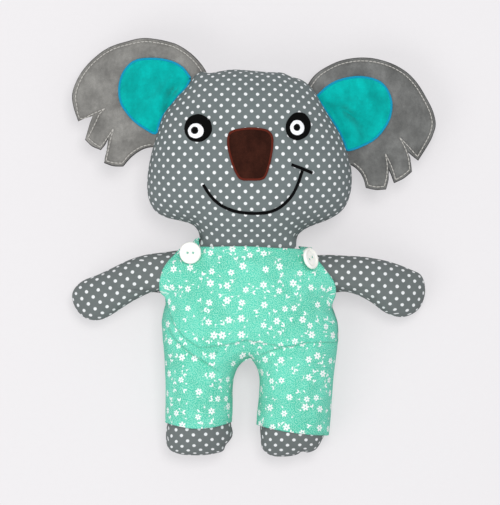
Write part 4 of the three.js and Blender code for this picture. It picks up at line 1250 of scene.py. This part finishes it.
def button(name, centre, lean, heading, twist, node, thread_node):
    """A turned disc: a rounded rim round a shallow dish with two holes through it. Height is
    a function of the distance from the middle, and drops away in the holes. It leans
    towards its heading."""
    around, rings = 72, 40
    share = np.linspace(0, 1, rings) ** 0.8
    angle = np.arange(around) / around * 2 * math.pi
    r = BUTTON * share[:, None] + 0 * angle[None]
    x, y = r * np.cos(angle), r * np.sin(angle)
    holes = np.minimum(np.hypot(x - HOLE, y), np.hypot(x + HOLE, y))
    dish = 0.0007 * (1 - smooth((r - 0.0052) / 0.0012))
    ridge = 0.00025 * np.exp(-(((r - 0.0071) / 0.0005) ** 2))
    edge = 0.0011 * (1 - np.sqrt(np.clip(1 - np.clip((r - BUTTON + 0.0011) / 0.0011, 0, 1) ** 2, 0, 1)))
    top = 0.0012 - dish + ridge - edge - 0.0016 * np.exp(-((holes / 0.00085) ** 4))
    curl = np.clip((r - BUTTON + 0.0009) / 0.0009, 0, 1)
    bottom = -0.0012 + 0.0009 * (1 - np.sqrt(np.clip(1 - curl**2, 0, 1)))
    size = rings * around
    points = np.vstack([np.stack([x, y, top], 2).reshape(-1, 3), np.stack([x, y, bottom], 2).reshape(-1, 3)])
    faces = net(rings, around, True, 0, True) + net(rings, around, True, size)
    rim = np.arange(around) + (rings - 1) * around
    nxt = np.roll(rim, -1)
    faces += np.stack([rim, nxt, nxt + size, rim + size], 1).tolist()

    def placed(local):
        """Points twisted, leaned and headed, in that order, and moved to the button's place."""
        tip = np.array([[math.cos(lean), 0, math.sin(lean)], [0, 1, 0], [-math.sin(lean), 0, math.cos(lean)]])
        return local @ upright_turn(twist).T @ tip.T @ upright_turn(heading).T + centre

    piece = add_piece(name, placed(points), faces, None, plastic, outward=True)
    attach(piece, "torso")
    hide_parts(node)
    # thread fills each hole as a small mound of four strands that cross it
    t = np.linspace(0, 1, 13)
    strands, thread_faces = [], []
    spin = np.arange(8) / 8 * 2 * math.pi
    for hole in (-HOLE, HOLE):
        for offset in (-0.00045, -0.00015, 0.00015, 0.00045):
            reach = math.sqrt(0.00078**2 - offset**2)
            arch = 0.00035 * np.sin(math.pi * t)
            middle = np.stack([hole + reach * np.cos(math.pi * t), offset + 0 * t, arch], 1)
            ring = middle[:, None] + 0.00019 * np.stack([0 * spin, np.cos(spin), np.sin(spin)], 1)[None]
            start = len(strands) * 13 * 8
            thread_faces += net(13, 8, True, start)
            thread_faces += [[start + j for j in range(8)], [start + 96 + j for j in range(8)]]
            strands.append(ring.reshape(-1, 3))
    shank = np.stack([0.0011 * np.cos(spin), 0.0011 * np.sin(spin), 0 * spin], 1)
    deep = np.linspace(-0.001, -0.0062, 5)
    start = len(strands) * 13 * 8
    thread_faces += net(5, 8, True, start)
    thread_faces += [[start + j for j in range(8)], [start + 32 + j for j in range(8)]]
    strands.append((shank[None] + np.stack([0 * deep, 0 * deep, deep], 1)[:, None]).reshape(-1, 3))
    thread = add_piece(name + "_strands", placed(np.vstack(strands)), thread_faces, None, green_thread,
                       outward=True)
    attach(thread, "torso")
    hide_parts(thread_node)


def seated(column, row, lean, heading):
    """The middle of a button that leans and touches the cloth under it at its highest."""
    angle = np.arange(24) / 24 * 2 * math.pi
    reach = BUTTON * np.array([[1], [0.75], [0.4]])
    middle = spot(column, row)
    x = (reach * np.cos(angle) * math.cos(lean)).reshape(-1)
    y = (reach * np.sin(angle)).reshape(-1)
    plan = np.stack([x * math.cos(heading) - y * math.sin(heading),
                     x * math.sin(heading) + y * math.cos(heading)], 1)
    cloth = bib_level(middle + plan) + BIB_CLOTH
    return np.array([*middle, (cloth + np.tan(lean) * x).max() + 0.0016 + 0.0012 / math.cos(lean)])


button("left_button_face", seated(190.7, 252.8, -0.2, 0.0), -0.2, 0.0, 0.0,
       "left_button", "left_button_thread")
button("right_button_face", seated(310.4, 258.2, 0.95, 0.3), 0.95, 0.3, 0.2,
       "right_button", "right_button_thread")


# The face


def on_head(piece, node):
    """A piece that moves with the head."""
    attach(piece, "head")
    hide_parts(node)


VIEW_HEIGHT = 3.0
FACE_HEIGHT = 0.077
VIEW_ROWS = 505
UNDER_CAMERA = spot(250, VIEW_ROWS / 2)


def face_spots(points):
    """Places on the face: the camera is near enough that what is high looks a little larger."""
    nearer = 1 - (FACE_HEIGHT - HEAD_SEAM) / VIEW_HEIGHT
    return UNDER_CAMERA + (spots(points) - UNDER_CAMERA) * nearer


NOSE = curve(face_spots([
    (228, 134.2), (232.4, 130.2), (241, 128.2), (250, 127.4), (260, 128), (268, 130), (272.8, 135.6),
    (273.2, 146), (271.8, 156), (269.4, 167), (265.6, 177.4), (260.6, 180.4), (251, 180.8),
    (241.4, 180.2), (236.6, 175.4), (232.2, 165), (229, 154), (227.2, 144),
]), 0.0006, True)
on_head(patch("nose_felt", NOSE, 26, front, 0.0011, brown_felt), "nose")
inner_nose = NOSE.mean(0) + (NOSE - NOSE.mean(0)) * 0.955
on_head(band("nose_satin", inner_nose, 0.0017, 0.0006, lambda p: front(p) + 0.0010, rust_stitch, True),
        "nose_edging")


def circle(column, row, wide, tall, tilt=0.0, count=96, seed=1):
    """An ellipse, sewn by hand: its radius wanders by a few hundredths."""
    angle = np.arange(count) / count * 2 * math.pi
    wander = 1 + 0.012 * np.sin(3 * angle + seed) + 0.008 * np.sin(7 * angle + 2 * seed)
    x, y = wide * wander * np.cos(angle), tall * wander * np.sin(angle)
    turned = np.stack([x * math.cos(tilt) - y * math.sin(tilt), x * math.sin(tilt) + y * math.cos(tilt)], 1)
    return face_spots([(column, row)])[0] + PITCH * turned


def eye(side, black, white, pupil):
    """Three filled shapes sewn over each other, each given as its place, size and tilt."""
    def raised(amount):
        """The head's front, lifted by the amount."""
        return lambda places: front(places) + amount

    on_head(patch(side + "_eye_black", circle(*black, seed=2), 18, front, 0.0009, black_fill, 0.0008),
            side + "_eye")
    on_head(patch(side + "_eye_white", circle(*white, seed=3), 14, raised(0.0008), 0.0006,
                  white_stitch, 0.0007), side + "_eye_ring")
    on_head(patch(side + "_eye_middle", circle(*pupil, seed=4), 9, raised(0.0013), 0.0006,
                  black_fill, 0.0007), side + "_pupil")


eye("left", (197.9, 127.8, 13.9, 14.0), (195.7, 130.6, 7.9, 7.5), (194.5, 130.1, 3.7, 3.7))
eye("right", (298.4, 126, 12.4, 14.3, -0.35), (297.3, 127.4, 7.1, 7.6), (297.0, 127.2, 3.3, 3.6))

smile = curve(face_spots([
    (203, 184.6), (209.6, 194.6), (216.5, 202), (225.7, 207.9), (238, 211.9), (253.3, 213.4),
    (268.6, 212.2), (280.8, 206.8), (291.5, 196.2), (297.7, 184.5), (302.4, 170.4),
]), 0.0006)
on_head(band("smile_satin", smile, 0.0024, 0.0010, front, black_stitch), "smile")
cheek = curve(face_spots([(291.4, 164.6), (302, 168.4), (312.8, 173)]), 0.0006)
on_head(band("cheek_satin", cheek, 0.0024, 0.0011, front, black_stitch), "cheek_line")


# The ears

LEFT_HINGE = np.array([-0.05834, 0.110578])
LEFT_OUT = np.array([-0.82258, 0.56865])
RIGHT_HINGE = np.array([0.06292, 0.098973])
RIGHT_OUT = np.array([0.88906, 0.45778])

LEFT_EAR = [
    [(210, 84), (204, 69), (193, 56), (181, 47), (169, 42), (145, 38), (127, 41), (108.5, 47), (94, 57),
     (83, 69), (76, 81), (72, 93), (73, 105), (78, 120.5)],
    [(78, 120.5), (86, 117.2), (92.7, 115)], [(92.7, 115), (89.4, 124), (85, 139)],
    [(85, 139), (91.5, 145), (100.6, 149.3)], [(100.6, 149.3), (105, 143.4), (108, 136.6)],
    [(108, 136.6), (107, 150), (104, 162)], [(104, 162), (113, 165.2), (123, 165.7)],
    [(123, 165.7), (131.5, 156), (142.4, 148.7), (152, 146.4), (162, 146)],
    [(162, 146), (176, 128), (194, 102), (210, 84)],
]
LEFT_STITCH = [
    [(203.6, 76), (199.5, 68.2), (191.5, 58.7), (180.4, 50.2), (168.5, 44.9), (146.3, 41.2), (128.4, 43.7),
     (110.3, 49.5), (95.6, 59.5), (85, 71.3), (78.5, 82.8), (75, 94.3), (76, 104.9), (79.8, 118.4),
     (92.1, 113.6), (104.8, 108.2)],
    [(104.8, 108.2), (99.6, 113), (95.4, 121.6), (91, 130.6), (87.6, 137.4)],
    [(87.6, 137.4), (93, 142.4), (100.2, 147)],
    [(100.2, 147), (107.6, 137), (113.3, 128.4)],
    [(113.3, 128.4), (110.4, 139.4), (107.6, 152), (106, 160.6)],
    [(106, 160.6), (114, 162.8), (122.4, 163.2)],
    [(122.4, 163.2), (130, 154.2), (141.2, 146.8), (151, 144.6)],
]
LEFT_INNER = [
    [(190, 78.5), (184.6, 70), (175.6, 63.4), (163, 59.4), (148.5, 58.4), (135, 60.4), (125.8, 68),
     (120.6, 78.5), (119, 90.6), (121, 102.7), (128, 113.6), (137.5, 123.3), (155.7, 134.8)],
    [(155.7, 134.8), (160, 121), (164.8, 113), (171, 105.2), (178.6, 95), (186, 87.4), (190, 78.5)],
]
RIGHT_EAR = [
    [(303, 98), (309.5, 83), (318, 73), (331, 65), (344, 60), (360.5, 57.6), (377, 58.7), (393, 63.6),
     (407, 71.7), (418, 83), (426.6, 97), (433, 110), (436, 123), (433.7, 133), (429, 143), (418.5, 159.6)],
    [(418.5, 159.6), (413.4, 155.6), (407, 150)], [(407, 150), (410.6, 160), (412, 171)],
    [(412, 171), (404, 177.6), (394.6, 182.3)], [(394.6, 182.3), (391.6, 174.6), (388, 166.6)],
    [(388, 166.6), (388.6, 178), (386, 188.8)], [(386, 188.8), (376, 189.4), (366, 187.2)],
    [(366, 187.2), (363.7, 178.5), (359.4, 171), (351.8, 164.8), (341, 162)],
    [(341, 162), (331, 134), (318, 112), (303, 98)],
]
RIGHT_STITCH = [
    [(310, 88), (318.7, 76.6), (331.5, 68.1), (344.4, 63), (360.9, 60.5), (376.8, 61.7), (392.2, 66.5),
     (405, 73.9), (415.9, 85.1), (424.2, 98.6), (430.3, 111.2), (432.9, 122.4), (430.8, 132.4),
     (426.3, 141.9), (418, 156.4)],
    [(418, 156.4), (409, 146.4), (400, 137.3)],
    [(400, 137.3), (405.6, 148), (408.8, 158), (410, 169.6)],
    [(410, 169.6), (403, 175.4), (395.6, 179.6)],
    [(395.6, 179.6), (392, 167.4), (385.6, 153.6)],
    [(385.6, 153.6), (387.4, 166), (386.6, 177), (384.2, 186.4)],
    [(384.2, 186.4), (376, 187), (368, 185)],
    [(368, 185), (365.6, 177), (361.2, 169.4), (353.4, 163)],
]
RIGHT_INNER = [
    [(316.6, 97), (326, 87.9), (338, 80.8), (355, 77), (368, 77.6), (380, 81.6), (386.9, 88.6),
     (391, 98.4), (391.6, 108), (389.2, 119), (383, 129.7), (373.5, 139.5), (360, 146.6), (347.5, 151)],
    [(347.5, 151), (344.6, 143), (339.6, 132), (333.6, 121.8), (327, 112), (316.6, 97)],
]


def ear(side, hinge, out, outline, rows, inner, face_felt, dimples):
    """One ear: two felts, the inner ear with its edging, and a row of stitches near the rim. Each
    dimple is its place, its direction, its length and width in pixels, and its depth."""
    rows = [curve(spots(row), 0.0008) for row in rows]
    path = np.vstack([row[:-1] for row in rows])
    path_end = np.vstack([row[1:] for row in rows])
    inner_ring = ring_of(inner, 0.0009)

    def base(places):
        """The ear sags away from its root, with slow waves, and is pulled in near the head."""
        off = (places - hinge) @ out
        sag = 0.2 * 0.004 * np.log1p(np.exp(np.clip((off + 0.002) / 0.004, -30, 30)))
        waves = 0.0011 * ripples(places, 0.05, 83) + 0.00035 * ripples(places, 0.017, 84)
        pull = 0
        for at, way, length, width, depth in dimples:
            away = places - spot(*at)
            along = away @ (np.array(way) / PITCH / length)
            across = away @ (np.array([-way[1], way[0]]) / PITCH / width)
            pull = pull + depth * np.exp(-(along**2 + across**2))
        return HEAD_SEAM - sag + waves * smooth((off + 0.004) / 0.02) - pull

    def face(places):
        """The front felt: the ear's form and a little more, pressed in along the stitched line."""
        near = from_line(places, path, path_end)
        return base(places) + 0.0006 - 0.00055 * np.exp(-((near - 0.0007) / 0.0007) ** 2)

    def applied(places):
        """The inner felt: higher over the ear's form, and crowned away from its own edge."""
        edge = from_ring(places, inner_ring)
        return base(places) + 0.0019 + 0.0007 * smooth(edge / 0.006)

    satin_line = spaced(curve(inner_ring[::5], 0.0006, True), 0.0006, True)
    ring = ring_of(outline, 0.0009)
    middle = spots(inner[0]).mean(0)
    outward = (ring - middle) / np.linalg.norm(ring - middle, axis=1, keepdims=True)
    wide_ring = ring + outward * 0.0005
    cuts = [
        (cut_sheet(side + "_ear_back_felt", wide_ring, lambda p: base(p) - 0.0002, 0.0018,
                   back_felt_painted_shade, FELT, True), side + "_ear_back", "grey_felt"),
        (cut_sheet(side + "_ear_face_felt", ring, face, 0.001, face_felt, FELT),
         side + "_ear_front", "grey_felt"),
        (cut_sheet(side + "_inner_ear_felt", inner_ring, applied, 0.0011, teal_felt, 0.0011),
         side + "_inner_ear", "teal_felt"),
        (band(side + "_inner_ear_satin", satin_line, 0.0018, 0.0008, lambda p: applied(p) + 0.0008,
              blue_stitch, True), side + "_inner_ear_edging", "blue_thread"),
        (stitches(side + "_ear_stitches", rows, 0.0030, 0.00005, 0.00042, grey_thread,
                  lambda p: base(p) + 0.0006 + FELT, 0.0002), side + "_ear_topstitching", "grey_thread"),
    ]
    for piece, node, colour in cuts:
        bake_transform(piece)
        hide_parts(node)
    return cuts


left_cuts = ear("left", LEFT_HINGE, LEFT_OUT, LEFT_EAR, LEFT_STITCH, LEFT_INNER, left_ear_felt_painted_light,
                [((173, 91), (0.68, 0.73), 9, 4.5, 0.0058), ((167, 108), (0.5, 0.85), 8, 4, 0.0036),
                 ((161, 94), (0.6, 0.8), 15, 7, -0.0028)])
right_cuts = ear("right", RIGHT_HINGE, RIGHT_OUT, RIGHT_EAR, RIGHT_STITCH, RIGHT_INNER, right_ear_felt_painted_shade,
                 [((349, 113), (0.8, -0.6), 11, 4.5, 0.0042), ((333, 112), (0.5, -0.86), 12, 4.5, 0.0036),
                  ((344, 102), (0.95, -0.1), 12, 5, -0.0022), ((353, 129), (0.7, -0.7), 10, 6, -0.0022)])


# What is cut from flat cloth or felt


def cut_size(piece):
    """Width, length and area of a finished piece's own flat layout."""
    mesh = piece.data
    flat = np.zeros(len(mesh.loops) * 2, np.float32)
    mesh.uv_layers["flat"].data.foreach_get("uv", flat)
    flat = flat.reshape(-1, 2).astype(float)
    mesh.calc_loop_triangles()
    corners = np.zeros(len(mesh.loop_triangles) * 3, np.int32)
    mesh.loop_triangles.foreach_get("loops", corners)
    a, b, c = flat[corners.reshape(-1, 3)].transpose(1, 0, 2)
    area = np.abs((b - a)[:, 0] * (c - a)[:, 1] - (b - a)[:, 1] * (c - a)[:, 0]).sum() / 2
    return flat.max(0) - flat.min(0), float(area)


def declare(piece, panels=1):
    """Works out the width, length and area of a sheet's flat layout, which follows the made surface and isn't
    a cutting size found on its own; they are not kept or passed on. Two panels are as wide as both laid side
    by side."""
    (width, length), area = cut_size(piece)
    if panels == 2:
        width, length = 2 * width, length - 0.3


declare(bib)
declare(left_trousers, 2)
declare(right_trousers, 2)
declare(left_strap)
declare(right_strap)
for cuts in (left_cuts, right_cuts):
    declare(cuts[0][0])
    declare(cuts[1][0])
    declare(cuts[2][0])


# The view, the light and the table it lies on

table = bpy.data.meshes.new("table")
table.from_pydata([(-3, -3, 0), (3, -3, 0), (3, 3, 0), (-3, 3, 0)], [], [(0, 1, 2, 3)])
table_top = bpy.data.objects.new("table", table)
bpy.context.scene.collection.objects.link(table_top)
white_cloth = Finish("white_cloth", 0.9, 0.0, 0.2)
speckle = white_cloth.noise(white_cloth.place, 220, 3.0, 0.6)
plain_white = white_cloth.blend(speckle, paint(230, 226, 227), paint(235, 231, 232))
# Where the camera sees the table it glows a little, so that the toy's shadow on it stays light.
GLOW = 0.6
seen = white_cloth.add("ShaderNodeLightPath").outputs["Is Camera Ray"]
white_cloth.shader.inputs["Emission Color"].default_value = paint(240, 238, 240)
white_cloth.put(white_cloth.shader.inputs["Emission Strength"], white_cloth.times(seen, GLOW))
dimmer = white_cloth.math("MULTIPLY_ADD", seen, -GLOW, 1.0)
table.materials.append(white_cloth.done(
    white_cloth.vector("SCALE", plain_white, scale=dimmer), speckle, 0.0002, 0.4))

scene = bpy.context.scene
lens = bpy.data.cameras.new("camera")
camera = bpy.data.objects.new("camera", lens)
scene.collection.objects.link(camera)
camera.location = (*UNDER_CAMERA, VIEW_HEIGHT)
lens.sensor_width = 36
lens.lens = lens.sensor_width * (VIEW_HEIGHT - 0.04) / (VIEW_ROWS * PITCH)
lens.clip_end = 20
scene.camera = camera


def soft_lamp(name, size, energy, place, turn):
    """A square soft box over the table."""
    light = bpy.data.lights.new(name, "AREA")
    light.size = size
    light.energy = energy
    lamp = bpy.data.objects.new(name, light)
    lamp.location = place
    lamp.rotation_euler = turn
    scene.collection.objects.link(lamp)


soft_lamp("high_soft_box", 0.72, 20.5, (0.2, 0.42, 2.0), (-0.2, 0.3, 0))
soft_lamp("low_soft_box", 1.2, 12.5, (-1.0, -0.8, 1.6), (0.4, -0.56, 0))

world = bpy.data.worlds.new("room")
world.use_nodes = True
world.node_tree.nodes["Background"].inputs["Color"].default_value = (0.93, 0.965, 1.0, 1.0)
world.node_tree.nodes["Background"].inputs["Strength"].default_value = 0.5
scene.world = world
scene.view_settings.view_transform = "Standard"
